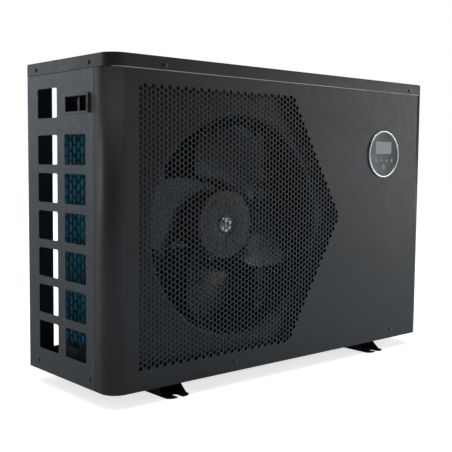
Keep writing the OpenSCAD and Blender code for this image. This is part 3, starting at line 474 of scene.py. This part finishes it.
def honeycomb(cells, dx, dz, hole, corner, steps):
    """Rings of sheet round each hole of a staggered field, and the outline of the whole field.
    hole is the share of the cell that is open, corner the share of a side that its rounding takes."""
    cell = hexagon(dx, dz)
    points, index, faces, used = [], {}, [], {}

    def key(p):
        k = (round(p[0] * KEYS_PER_MM), round(p[1] * KEYS_PER_MM))
        if k not in index:
            index[k] = len(points)
            points.append(p)
        return index[k]

    def between(p, q, t):
        return (p[0] + (q[0] - p[0]) * t, p[1] + (q[1] - p[1]) * t)

    for cx, cz in cells:
        outer = [key((cx + u, cz + w)) for u, w in cell]
        inner = [(cx + u * hole, cz + w * hole) for u, w in cell]
        bends = []
        for k in range(6):
            before, corner_point, after = inner[k - 1], inner[k], inner[(k + 1) % 6]
            p, q = between(corner_point, before, corner), between(corner_point, after, corner)
            bend = []
            for i in range(steps + 1):
                t = i / steps
                bend.append(between(between(p, corner_point, t), between(corner_point, q, t), t))
            start = len(points)
            points.extend(bend)
            bends.append(list(range(start, start + len(bend))))
        for k in range(6):
            j = (k + 1) % 6
            faces.append((outer[k], outer[j], bends[j][0], bends[k][-1]))
            faces.append((outer[k], *reversed(bends[k])))
            used[(outer[k], outer[j])] = True
    ahead = {p: q for p, q in used if (q, p) not in used}
    loops = []
    while ahead:
        start = next(iter(ahead))
        loop, p = [start], ahead.pop(start)
        while p != start:
            loop.append(p)
            p = ahead.pop(p)
        loops.append(loop)
    return points, faces, loops


def fill_between(points, outline, holes):
    """Triangles between an outline and holes, as indices into points, all counterclockwise."""
    flat = [*outline, *(i for hole in holes for i in hole)]
    rings = [[Vector((*points[i], 0)) for i in ring] for ring in (outline, *holes)]
    found = []
    for tri in tessellate_polygon(rings):
        a, b, c = (flat[i] for i in tri)
        (ax, az), (bx, bz), (cx, cz) = points[a], points[b], points[c]
        area = (bx - ax) * (cz - az) - (cx - ax) * (bz - az)
        if abs(area) > 1e-9:
            found.append((a, b, c) if area > 0 else (a, c, b))
    return found


FIELD_COLUMNS = 58
# rows above and below the middle one
FIELD_ROWS = 24
FIELD_X0 = 66.0
FIELD_TIP_X = 603.4
FIELD_MID_Z = 306.0
HOLE_PITCH = 10.75
HOLE_STEP = (FIELD_TIP_X - FIELD_X0) / (FIELD_COLUMNS - 1)
HOLE_OPEN = 0.838
HOLE_ROUNDING = 0.16
BORE_STEPS = 96
BORE_INSET = 5
FOLD_STEPS = 16


def field_cells():
    """Centres of the holes: 49 rows, cut along the lattice to an arrow point on the right."""
    cells = []
    for i in range(FIELD_COLUMNS):
        shift = 0 if (FIELD_COLUMNS - 1 - i) % 2 == 0 else -HOLE_PITCH / 2
        reach = HOLE_PITCH * (1.0 + 1.5 * (FIELD_COLUMNS - 1 - i)) + 0.2
        for k in range(-FIELD_ROWS, FIELD_ROWS + 1):
            dz = k * HOLE_PITCH + shift
            if abs(dz) <= reach:
                cells.append((FIELD_X0 + i * HOLE_STEP, FIELD_MID_Z + dz))
    return cells


def front_panel():
    """Front sheet: field of holes and controller bore in the flat, folded round both corners."""
    points, faces, loops = honeycomb(field_cells(), HOLE_STEP, HOLE_PITCH, HOLE_OPEN, HOLE_ROUNDING, 1)
    outline_start = len(points)
    points += [(CORNER_R, 0), (CASE_W - CORNER_R, 0), (CASE_W - CORNER_R, PANEL_TOP), (CORNER_R, PANEL_TOP)]
    body_lo, body_hi = mm_box("controller_body")
    cx, cz = (body_lo.x + body_hi.x) / 2, (body_lo.z + body_hi.z) / 2
    bezel_lo, bezel_hi = mm_box("controller_bezel")
    bore_r = (bezel_hi.x - bezel_lo.x) / 2 - BORE_INSET
    bore = [len(points) + i for i in range(BORE_STEPS)]
    turns = [2 * PI * i / BORE_STEPS for i in range(BORE_STEPS)]
    points += [(cx + bore_r * math.cos(t), cz + bore_r * math.sin(t)) for t in turns]
    faces += fill_between(points, [outline_start + i for i in range(4)], [*loops, bore])
    made = Parts()
    made.add([(x, 0, z) for x, z in points], faces)
    for sign, edge in ((1, 0.0), (-1, CASE_W)):
        plan = [(edge + sign * (CORNER_R - CORNER_R * math.sin(t)), CORNER_R - CORNER_R * math.cos(t))
                for t in (PI / 2 * i / FOLD_STEPS for i in range(FOLD_STEPS + 1))]
        plan.append((edge, WRAP_D - RETURN_GAP))
        low = [(x, y, 0) for x, y in plan]
        high = [(x, y, PANEL_TOP) for x, y in plan]
        if sign > 0:
            low, high = high, low
        made.rings([low, high], close=False)
    mesh = weld(mesh_from("front_panel_fine", made.verts, made.faces), WELD)
    piece = place("front_panel_fine", mesh, "paint_front", nodes=("front_panel",), smooth=25, thickness=SHEET)
    # hole walls and sheet edges take the pale copy: painted highlight along the hole edges
    mesh.materials.append(PAINT_EDGE_HIGHLIGHT)
    piece.modifiers["wall"].material_offset_rim = 1
    for face in mesh.polygons:
        if abs(face.normal.y) > 0.99999:
            face.use_smooth = False


def seam_highlight_strip():
    """Pale strip in the joint under the lid: the bare cut edge of the front sheet, its pale white also a
    painted highlight for the bright line of light along the front seam.
    """
    made = Parts()
    steps = 8
    turns = [PI / 4 * i / steps for i in range(steps + 1)]
    bend = [(CORNER_R - CORNER_R * math.sin(t), CORNER_R - CORNER_R * math.cos(t)) for t in turns]
    plan = bend[::-1] + [(CASE_W - x, y) for x, y in bend]
    low, high = PANEL_TOP + 0.05, LID_Z - 0.05
    deep, rim = 1.4, 0.25
    loops = []
    for inset, z in ((rim, low), (0.1, PANEL_TOP + SEAM / 2), (rim, high), (deep, high), (deep, low)):
        loop = []
        for x, y in plan:
            cx = min(max(x, CORNER_R), CASE_W - CORNER_R)
            away = Vector((cx - x, CORNER_R - y)).normalized()
            loop.append((x + away.x * inset, y + away.y * inset, z))
        loops.append(loop)
    made.rings([*loops, loops[0]], close=False)
    place("seam_highlight_strip", made.mesh("seam_highlight_strip"), "galvanised", material=SEAM_HIGHLIGHT_PAINT)


def lid():
    """Pressed lid: flat top, rolled upper edge, skirt all round."""
    roll, roll_steps = 2.6, 6
    chamfer = 0.35
    rear = 2.0
    made = Parts()

    def plan(inset, z):
        r = CORNER_R - inset
        x0, x1, y0, y1 = inset, CASE_W - inset, inset, LID_D - inset
        outline = (arc(x0 + r, y0 + r, r, 180, 270, 18) + arc(x1 - r, y0 + r, r, 270, 360, 18)
                   + arc(x1 - rear, y1 - rear, rear, 0, 90, 3) + arc(x0 + rear, y1 - rear, rear, 90, 180, 3))
        return [(x, y, z) for x, y in outline]

    loops = [plan(chamfer, LID_Z), plan(0.0, LID_Z + chamfer)]
    for i in range(roll_steps + 1):
        a = PI / 2 * i / roll_steps
        loops.append(plan(roll * (1 - math.cos(a)), CASE_H - roll + roll * math.sin(a)))
    made.rings(loops, cap_last=True)
    inner = [plan(SHEET, LID_Z), plan(SHEET, CASE_H - SHEET)]
    made.rings(inner[::-1])
    made.add(inner[1], [tuple(reversed(range(len(inner[1]))))])
    n = len(loops[0])
    made.add([*loops[0], *inner[0]], [(i, i + n, (i + 1) % n + n, (i + 1) % n) for i in range(n)])
    place("top_cover_fine", made.mesh("top_cover_fine"), "paint_front", nodes=("top_cover",), smooth=40)


# ---------------------------------------------------------------- handles
def handle(node, mirror):
    """Recessed grip: painted frame, black pocket with rib and end blocks, and along its front edge a black
    bar that is painted shade for the unlit front-facing side of the frame.
    """
    lo, hi = mm_box(node)
    y0, y1, z0, z1 = lo.y, hi.y, lo.z, hi.z
    skin = CASE_W if mirror else 0.0
    out = 1.0 if mirror else -1.0
    depth, border, proud = 18.0, 5.0, 1.6
    end_high, end_wide, end_deep = 8, 19, 5
    rib_front, rib_half, rib_place = 9.5, 3.5, 0.62
    shade_bar_from, shade_bar_to = 1.4, 4.9

    def ring(inset, along, r):
        edge = rounded(y0 + inset, y1 - inset, z0 + inset, z1 - inset, r)
        return [(skin + out * along, y, z) for y, z in edge]

    face = Parts()
    face.rings([ring(0, 0.05, 3), ring(0, proud - 0.5, 3), ring(0.5, proud, 2.6),
                ring(border - 0.8, proud, 1.6), ring(border, proud - 0.6, 1.2), ring(border, -2.0, 1.2)])
    place(node + "_frame", face.mesh(node + "_frame"), "paint_side", nodes=(node,))
    pocket = Parts()
    pocket.rings([ring(border + 0.1, -0.4, 1.2), ring(border + 0.1, -depth, 1.2)], cap_last=True)
    mid = y0 + (y1 - y0) * rib_place
    inner0, inner1 = z0 + border, z1 - border

    def block(a0, a1, b0, b1, c0, c1):
        xs = sorted((skin - out * a0, skin - out * a1))
        pocket.box(xs[0], xs[1], b0, b1, c0, c1)

    block(rib_front, depth, mid - rib_half, mid + rib_half, inner0, inner1)
    for bottom in (inner0, inner1 - end_high):
        block(depth - end_deep, depth, y0 + border, y0 + border + end_wide, bottom, bottom + end_high)
    place(node + "_pocket", pocket.mesh(node + "_pocket"), "black_plastic", bevel=0.4)
    # black bar at the grip's front edge: painted shade for the unlit front-facing side of the frame
    shade_bar = Parts()
    xs = sorted((skin + out * shade_bar_from, skin + out * shade_bar_to))
    shade_bar.box(xs[0], xs[1], y0 + 0.7, y0 + 6.2, z0 + 1.2, z1 - 1.2)
    place(node + "_shade_bar", shade_bar.mesh(node + "_shade_bar"), "black_plastic", bevel=1.1, segments=3)


# ---------------------------------------------------------------- controller
def flat_shape(parts, outline, y_back, y_front):
    """A thin raised mark with the given outline in X and Z."""
    back = [(x, y_back, z) for x, z in outline]
    front = [(x, y_front, z) for x, z in outline]
    parts.rings([back, front], cap_last=True)


def stroke(points, width):
    """Outline of a bent line of even width."""
    left, right = [], []
    for i, p in enumerate(points):
        a, b = points[max(i - 1, 0)], points[min(i + 1, len(points) - 1)]
        d = Vector((b[0] - a[0], b[1] - a[1])).normalized() * (width / 2)
        left.append((p[0] - d.y, p[1] + d.x))
        right.append((p[0] + d.y, p[1] - d.x))
    return left + right[::-1]


def controller():
    """Round control panel: bright ring, black face, display window and plain key marks."""
    lo, hi = mm_box("controller_bezel")
    cx, cz, r = (lo.x + hi.x) / 2, (lo.z + hi.z) / 2, (hi.x - lo.x) / 2
    front = lo.y
    ring = Parts()
    ring.lathe((cx, 0, cz), [(r, -0.05), (r, front + 1.2), (r - 0.35, front + 0.5), (r - 1.1, front + 0.08),
                             (r - 1.9, front), (r - 2.9, front + 0.15), (r - 3.5, front + 0.7),
                             (r - 3.7, front + 1.6), (r - 3.7, -0.05)], 120)
    place("controller_ring", ring.mesh("controller_ring"), "chrome_ring",
          nodes=("controller_bezel",), smooth=50)
    body_lo, body_hi = mm_box("controller_body")
    face_y, face_r = body_lo.y, r - 3.9
    body = Parts()
    body.lathe((cx, 0, cz), [(face_r, body_hi.y), (face_r, face_y + 0.5), (face_r - 0.5, face_y),
                             (face_r - 3, face_y), (face_r - 3.4, face_y + 0.1), (0.01, face_y + 0.1)], 120)
    place("controller_face", body.mesh("controller_face"), "panel_black",
          nodes=("controller_body",), smooth=30)
    glass = Parts()
    flat_shape(glass, rounded(cx - 31, cx + 27, cz + 0.5, cz + 29.1, 2.4), face_y, face_y - 0.35)
    place("controller_glass", glass.mesh("controller_glass"), "lcd",
          nodes=("controller_display",), bevel=0.15)
    marks = Parts()
    top, row, pitch = face_y - 0.3, cz - 15.5, 19.2

    def mark(outline):
        flat_shape(marks, outline, face_y + 0.1, top)

    xs = [cx - 28 + i * pitch for i in range(4)]
    mark(stroke(arc(xs[0], row, 3.2, 60, 390, 24), 1.1))
    mark(stroke([(xs[1] - 3.4, row - 1.6), (xs[1], row + 1.9), (xs[1] + 3.4, row - 1.6)], 1.2))
    mark(stroke([(xs[2] - 3.4, row + 1.9), (xs[2], row - 1.6), (xs[2] + 3.4, row + 1.9)], 1.2))
    for step in (-2.4, 0.0, 2.4):
        mark(rounded(xs[3] - 3.3, xs[3] + 3.3, row + step - 0.55, row + step + 0.55, 0.5, 2))
    px, pz = cx - 1, cz - 30.5
    mark(stroke(arc(px, pz, 3.9, 120, 420, 28), 1.2))
    mark(rounded(px - 0.6, px + 0.6, pz + 0.9, pz + 5.0, 0.5, 2))
    place("controller_marks", marks.mesh("controller_marks"), "lcd", material=ICON_WHITE)


# ---------------------------------------------------------------- screws
def islands(node):
    """Boxes of the separate bodies of a CAD node, in casing millimetres."""
    work = bmesh.new()
    work.from_mesh(frame["nodes"][node].data)
    bmesh.ops.remove_doubles(work, verts=work.verts, dist=WELD)
    turn = frame["nodes"][node].matrix_world
    left = set(work.verts)
    boxes = []
    while left:
        grow = [left.pop()]
        found = []
        while grow:
            v = grow.pop()
            found.append((turn @ v.co - CORNER) / MM)
            for e in v.link_edges:
                o = e.other_vert(v)
                if o in left:
                    left.discard(o)
                    grow.append(o)
        boxes.append((Vector(min(p[i] for p in found) for i in range(3)),
                      Vector(max(p[i] for p in found) for i in range(3))))
    work.free()
    return boxes


def pan_head(made, cross, centre, axis, out, radius, high):
    """A pan head on a sheet at centre, its top toward out along axis, with a black cross set into its top as
    painted shade for the cross recess.
    """
    def put(u, w, along):
        p = [0.0, 0.0, 0.0]
        p[axis] = centre[axis] + out * along
        p[(axis + 1) % 3] = centre[(axis + 1) % 3] + u
        p[(axis + 2) % 3] = centre[(axis + 2) % 3] + w
        return tuple(p)

    profile = [(radius, 0.0), (radius, high * 0.35), (radius * 0.93, high * 0.68),
               (radius * 0.75, high * 0.9), (radius * 0.5, high), (0.02, high)]
    steps = 28
    turns = [2 * PI * i / steps for i in range(steps)]
    made.rings([[put(r * math.cos(t), r * math.sin(t), a) for t in turns] for r, a in profile])
    turn = math.radians((centre[0] * 7 + centre[1] * 13 + centre[2] * 5) % 90)
    arm, half, top = radius * 0.52, radius * 0.14, high * 1.005
    corners = [(arm, half), (half, half), (half, arm), (-half, arm), (-half, half), (-arm, half),
               (-arm, -half), (-half, -half), (-half, -arm), (half, -arm), (half, -half), (arm, -half)]
    c, s = math.cos(turn), math.sin(turn)
    spun = [(u * c - w * s, u * s + w * c) for u, w in corners]
    # the cross is a black solid: painted shade for the shadowed hollow of the recess
    cross.rings([[put(u, w, high * 0.6) for u, w in spun], [put(u, w, top) for u, w in spun]], cap_last=True)


def cover_screws():
    """A fine pan head in the place of each CAD screw."""
    heads, recess_shades = Parts(), Parts()
    for lo, hi in islands("cover_screws"):
        middle = (lo + hi) / 2
        axis = 1 if min(abs(lo.y), abs(hi.y - CASE_D)) < min(abs(lo.x), abs(hi.x - CASE_W)) else 0
        far = middle[axis] > (CASE_W, CASE_D)[axis] / 2
        radius = (hi - lo)[1 - axis] / 2
        out = 1 if far else -1
        skin = (CASE_W if axis == 0 else CASE_D) if far else 0.0
        high = abs((hi if far else lo)[axis] - skin)
        base = list(middle)
        base[axis] = skin
        pan_head(heads, recess_shades, base, axis, out, radius, high * 0.985)
    place("cover_screw_heads", heads.mesh("cover_screw_heads"), "galvanised", nodes=("cover_screws",),
          material=SCREW_BLACK, smooth=50)
    # black crosses on the heads: painted shade for the recesses
    place("cover_screw_recess_shades", recess_shades.mesh("cover_screw_recess_shades"), "galvanised",
          material=MATERIALS["rubber_black"])


# ---------------------------------------------------------------- fan
# edges of a blade, as (radius in mm, degrees) stops
TRAILING = ((71, 110), (85, 117), (100, 123.5), (125, 131), (160, 142), (185, 149), (205, 155), (213.5, 161))
LEADING = ((71, 166), (85, 185), (100, 197), (125, 202), (160, 197), (185, 192), (205, 186), (213.5, 178))


def curve(stops, r):
    """Reads a smooth curve through (radius, degrees) stops."""
    last = len(stops) - 1
    k = next((k for k in range(last) if r <= stops[k + 1][0]), last - 1)
    (r0, a0), (r1, a1) = stops[k], stops[k + 1]
    before = stops[max(k - 1, 0)]
    after = stops[min(k + 2, last)]
    t = (r - r0) / (r1 - r0)
    m0 = (a1 - before[1]) / (r1 - before[0]) * (r1 - r0)
    m1 = (after[1] - a0) / (after[0] - r0) * (r1 - r0)
    return ((2 * t ** 3 - 3 * t ** 2 + 1) * a0 + (t ** 3 - 2 * t ** 2 + t) * m0
            + (-2 * t ** 3 + 3 * t ** 2) * a1 + (t ** 3 - t ** 2) * m1)


def impeller():
    """Four forward-swept twisted blades on a dished, ribbed hub."""
    hub_front = 67.0
    shaft_lo, shaft_hi = mm_box("fan_shaft")
    cx, cz = (shaft_lo.x + shaft_hi.x) / 2, (shaft_lo.z + shaft_hi.z) / 2
    hub_r, tip_r = 73.0, TRAILING[-1][0]
    ribs, blades = 12, 4
    made = Parts()
    made.lathe((cx, hub_front, cz), [(7, 56), (13, 54), (13, 5), (22, 4), (25, 2.2), (29, 0.9), (33, 0.4),
                                     (60, 0.4), (63, 0.9), (66, 0.3), (70, 0.2), (72.2, 1.4), (hub_r, 4),
                                     (hub_r, 56), (hub_r - 3, 56), (hub_r - 3, 5), (30, 4), (14, 8)], 96)
    made.lathe((cx, hub_front, cz), [(6.1, 3), (16, 2.6), (19, 3.2), (21.5, 4.3)], 64)
    for i in range(ribs):
        a = 2 * PI * i / ribs
        along, across = Vector((math.cos(a), math.sin(a))), Vector((-math.sin(a), math.cos(a)))
        strip = []
        for r, high in ((31, 0.2), (34, -0.7), (58, -0.7), (61, 0.2)):
            strip.append([(cx + along.x * r + across.x * s, hub_front + (high if abs(s) < 1 else 0.6),
                           cz + along.y * r + across.y * s) for s in (-1.5, -0.7, 0.7, 1.5)])
        made.rings(strip, close=False)
    place("fan_hub_fine", made.mesh("fan_hub_fine"), "dark_plastic", "fan", smooth=45)
    made = Parts()
    rows, cols = 14, 16
    root_in = 1.5
    for blade in range(blades):
        turn = blade * 2 * PI / blades
        sections = []
        for i in range(rows + 1):
            f = i / rows
            r = hub_r - root_in + (tip_r - hub_r + root_in) * f
            trail = math.radians(curve(TRAILING, r))
            spread = math.radians(curve(LEADING, r)) - trail
            depth = 46 - 10 * f
            front, back = [], []
            for j in range(cols + 1):
                t = j / cols
                a = trail + spread * t + turn
                thick = 0.6 + 1.5 * math.sin(PI * min(1.0, t * 0.9 + 0.06)) ** 0.6
                camber = 5.0 * math.sin(PI * t) * (1 - 0.4 * f)
                y = hub_front + 6 + depth * t + camber
                front.append((cx + r * math.cos(a), y - thick, cz + r * math.sin(a)))
                back.append((cx + r * math.cos(a), y + thick, cz + r * math.sin(a)))
            sections.append(front + back[::-1])
        made.rings(sections, cap_first=True, cap_last=True)
    place("fan_impeller_fine", made.mesh("fan_impeller_fine"), "dark_plastic", "fan", ("fan_impeller",),
          material=BLADE_PLASTIC, smooth=45)


# ---------------------------------------------------------------- evaporator
COIL_DEPTH = 22.0
COIL_BEND = 100.0
FIN_PITCH = 2.0
TUBE_Z0 = 80
TUBE_PITCH = 25.4
TUBE_ROWS = 20
TUBE_R = 4.7
# fins whose heading has turned less than this, as a sine, are on the side leg and the bend
BACK_HEADING = 0.9


def coil_path():
    """Plan of the coil's middle line: (point, heading) every fin pitch along leg, bend and back."""
    fins_lo, fins_hi = mm_box("evaporator_fins")
    pitch, bend = FIN_PITCH, COIL_BEND
    x0, y0, x1, y1 = fins_lo.x, fins_lo.y, fins_hi.x, fins_hi.y
    mid = COIL_DEPTH / 2
    stops = []
    leg_end = y1 - bend
    y = y0 + 1
    while y < leg_end:
        stops.append((Vector((x0 + mid, y)), Vector((0, 1))))
        y += pitch
    radius = bend - mid
    steps = int(radius * PI / 2 / pitch)
    for i in range(steps):
        a = PI - PI / 2 * (i + 0.5) / steps
        stops.append((Vector((x0 + bend + radius * math.cos(a), leg_end + radius * math.sin(a))),
                      Vector((math.sin(a), -math.cos(a)))))
    x = x0 + bend + 1
    while x < x1:
        stops.append((Vector((x, y1 - mid)), Vector((1, 0))))
        x += pitch
    return stops


def fin_row(name, stops, z0, z1, **extra):
    """Thin corrugated fins standing on the coil's path."""
    made = Parts()
    half, thick, waves, wave_high = COIL_DEPTH / 2, 0.3, 6, 0.28
    for p, heading in stops:
        across = Vector((heading.y, -heading.x))
        loops = []
        for z in (z0, z1):
            line = []
            for side in (-1, 1):
                order = range(waves + 1) if side < 0 else range(waves, -1, -1)
                for j in order:
                    u = -half + 2 * half * j / waves
                    bulge = wave_high * (1 if j % 2 else -1)
                    q = p + across * u + heading * (bulge + side * thick)
                    line.append((q.x, q.y, z))
            loops.append(line)
        made.rings(loops, cap_first=True, cap_last=True)
    place(name, made.mesh(name), "blue_fin", smooth=20, **extra)


def fins():
    """Fins in two tones, a bright lit tone on the side leg and bend and a dark painted-shade tone on the
    back, and the copper tubes that run through them.
    """
    lo, hi = mm_box("evaporator_fins")
    stops = coil_path()
    side = [s for s in stops if s[1].x < BACK_HEADING]
    back = [s for s in stops if s[1].x >= BACK_HEADING]
    fin_row("evaporator_fins_side", side, lo.z, hi.z, nodes=("evaporator_fins",))
    # back fins take the darker copy: painted shade
    fin_row("evaporator_fins_back", back, lo.z, hi.z, material=FIN_PAINTED_SHADE)
    tubes = Parts()
    line = [tuple(p) for p, _ in stops]
    thinned = line[::6] + [line[-1]]
    for i in range(TUBE_ROWS):
        z = TUBE_Z0 + i * TUBE_PITCH
        if z < hi.z - 4:
            tubes.tube([(x, y, z) for x, y in thinned], TUBE_R, 8)
    place("evaporator_tube_runs", tubes.mesh("evaporator_tube_runs"), "copper", smooth=60)


def net():
    """Moulded fish-scale net in front of the coil's leg."""
    lo, hi = mm_box("evaporator_net")
    dx, dz = 14.5, 20.2
    rim = 3.0
    scale_open, scale_rounding = 0.86, 0.5
    a = dx * 2 / 3
    columns = int((hi.y - lo.y - 2 * rim - a / 2) / dx)
    start = (lo.y + hi.y) / 2 - dx * (columns - 1) / 2
    cells = []
    for i in range(columns):
        z = lo.z + rim + dz / 2 + (dz / 2 if i % 2 else 0)
        while z + dz / 2 < hi.z - rim:
            cells.append((start + i * dx, z))
            z += dz
    points, faces, loops = honeycomb(cells, dx, dz, scale_open, scale_rounding, 4)
    first = len(points)
    points += [(lo.y, lo.z), (hi.y, lo.z), (hi.y, hi.z), (lo.y, hi.z)]
    faces += fill_between(points, [first + i for i in range(4)], loops)
    verts = [(lo.x + 0.1, y, z) for y, z in points]
    mesh = weld(mesh_from("evaporator_net_fine", verts, [tuple(reversed(f)) for f in faces]), WELD)
    place("evaporator_net_fine", mesh, "black_plastic", nodes=("evaporator_net",), material=NET_PLASTIC,
          thickness=1.3)
    knots = Parts()
    seen = set()
    for y, z in cells:
        for u, w in hexagon(dx, dz):
            key = (round(y + u, 1), round(z + w, 1))
            if key not in seen:
                seen.add(key)
                knots.lathe((lo.x, *key), [(0.05, -0.9), (0.9, -0.6), (1.35, 0.1), (1.3, 0.8)], 8, "X")
    place("evaporator_net_knots", knots.mesh("evaporator_net_knots"), "black_plastic", smooth=80)


# ---------------------------------------------------------------- stage
DAYLIGHT = (0.88, 0.94, 1.0)
WARM = (1.0, 0.985, 0.95)
COOL = (0.7, 0.86, 1.0)
SKY = (0.55, 0.78, 1.0)
WHITE = (1.0, 1.0, 1.0)


def area_light(name, place_at, aim, size, watts, tint):
    """A flat lamp in metres, turned toward the point that it aims at."""
    data = bpy.data.lights.new(name, "AREA")
    data.shape = "RECTANGLE"
    data.size, data.size_y = size
    data.energy = watts
    data.color = tint
    lamp = bpy.data.objects.new(name, data)
    bpy.context.scene.collection.objects.link(lamp)
    lamp.location = place_at
    lamp.rotation_euler = (Vector(aim) - Vector(place_at)).to_track_quat("-Z", "Y").to_euler()
    return lamp


def studio_world():
    """Plain white for the camera, a weak cool light for everything else."""
    world = bpy.data.worlds.new("studio")
    world.use_nodes = True
    tree = world.node_tree
    ground = tree.nodes["Background"]
    ground.inputs["Color"].default_value = (0.93, 0.96, 1.0, 1.0)
    ground.inputs["Strength"].default_value = 0.035
    white = tree.nodes.new("ShaderNodeBackground")
    white.inputs["Color"].default_value = (*WHITE, 1.0)
    white.inputs["Strength"].default_value = 1.0
    path = tree.nodes.new("ShaderNodeLightPath")
    mix = tree.nodes.new("ShaderNodeMixShader")
    tree.links.new(path.outputs["Is Camera Ray"], mix.inputs["Fac"])
    tree.links.new(ground.outputs["Background"], mix.inputs[1])
    tree.links.new(white.outputs["Background"], mix.inputs[2])
    tree.links.new(mix.outputs["Shader"], tree.nodes["World Output"].inputs["Surface"])
    bpy.context.scene.world = world


def studio_floor():
    """Pale floor that meets the white background without a horizon."""
    floor_mesh = bpy.data.meshes.new("floor")
    half = 14.0
    corners = [(-half, -half, 0), (half, -half, 0), (half, half, 0), (-half, half, 0)]
    floor_mesh.from_pydata(corners, [], [(0, 1, 2, 3)])
    floor = bpy.data.objects.new("floor", floor_mesh)
    bpy.context.scene.collection.objects.link(floor)
    s = Shader("floor")
    grain = s.noise(3.0, 2.0)
    ray = s.node("ShaderNodeLightPath")
    seen = ray.outputs["Is Camera Ray"]
    s.link(s.remap(seen, 0.08, 0.74, 0.0, 1.0), s.bsdf.inputs["Emission Strength"])
    s.link(s.blend(seen, SKY, WHITE), s.bsdf.inputs["Emission Color"])
    s.bsdf.inputs["Specular IOR Level"].default_value = 0.1
    tone = s.blend(s.remap(grain, 0.0, 1.0), (0.8, 0.8, 0.8), (0.84, 0.84, 0.84))
    floor_mesh.materials.append(s.finish(tone, s.remap(grain, 0.8, 0.9)))


def studio_lights():
    """Tall softbox at the right, large one behind the left side, small fills in front, soft sky above."""
    area_light("key_right", (3.35, -1.9, 0.9), (0.2, -0.1, 0.3), (1.3, 1.8), 46.0, WARM)
    area_light("side_left", (-2.4, 3.2, 1.6), (-0.45, 0.1, 0.4), (3.0, 2.4), 56.0, DAYLIGHT)
    area_light("front_high", (1.35, -1.55, 1.4), (0.0, -0.06, 0.24), (0.45, 0.45), 2.8, COOL)
    area_light("front_near", (-0.45, -2.2, 0.85), (-0.06, -0.07, 0.38), (0.3, 0.3), 2.2, COOL)
    patch = area_light("floor_patch", (0.5, -0.95, 2.2), (0.45, -0.85, 0.0), (0.8, 0.8), 6.0, SKY)
    patch.data.spread = math.radians(50)
    overhead = bpy.data.lights.new("overhead", "SUN")
    overhead.energy = 1.5
    overhead.angle = math.radians(70)
    lamp = bpy.data.objects.new("overhead", overhead)
    bpy.context.scene.collection.objects.link(lamp)


def stage():
    studio_world()
    studio_floor()
    studio_lights()
    view = bpy.context.scene.view_settings
    view.view_transform = "Standard"
    view.look = "None"


# ---------------------------------------------------------------- build
make_camera()
front_panel()
seam_highlight_strip()
lid()
handle("handle_left", False)
handle("handle_right", True)
controller()
impeller()
fins()
net()
for node in ("left_side_panel", "right_side_panel", "rear_panel", "service_cover"):
    refine(node, 0.35)
# the fan plate takes the darker copy: painted shade behind the holes
refine("fan_orifice", 0.3, ORIFICE_PAINTED_SHADE, smooth=40)
for node in ("foot_left", "foot_right"):
    refine(node, 0.7)
cover_screws()
for node in ("rear_coil_guard", "base_pan", "motor_bracket", "heat_sink", "terminal_block", "electrical_box",
             "electrical_box_lid", "evaporator_end_plates"):
    refine(node, 0.3)
# the partition plate takes black paint in place of its galvanised finish: painted shade for the dark inside
# seen between the blades
refine("partition_plate", 0.3, MATERIALS["black_steel"])
refine("fan_nut", 0.5, BRIGHT_STEEL)
for node in ("motor_housing", "orifice_screws", "motor_screws", "cable_gland", "union_bodies",
             "inlet_union_tail", "inlet_union_nut", "outlet_union_tail", "outlet_union_nut", "drain_nozzle",
             "exchanger_shell", "compressor", "flow_switch_body"):
    refine(node, 0.4)
for name, node in frame["nodes"].items():
    if not node.hide_render:
        node.data.materials.clear()
        node.data.materials.append(MATERIALS[slot_of[name]])
stage()
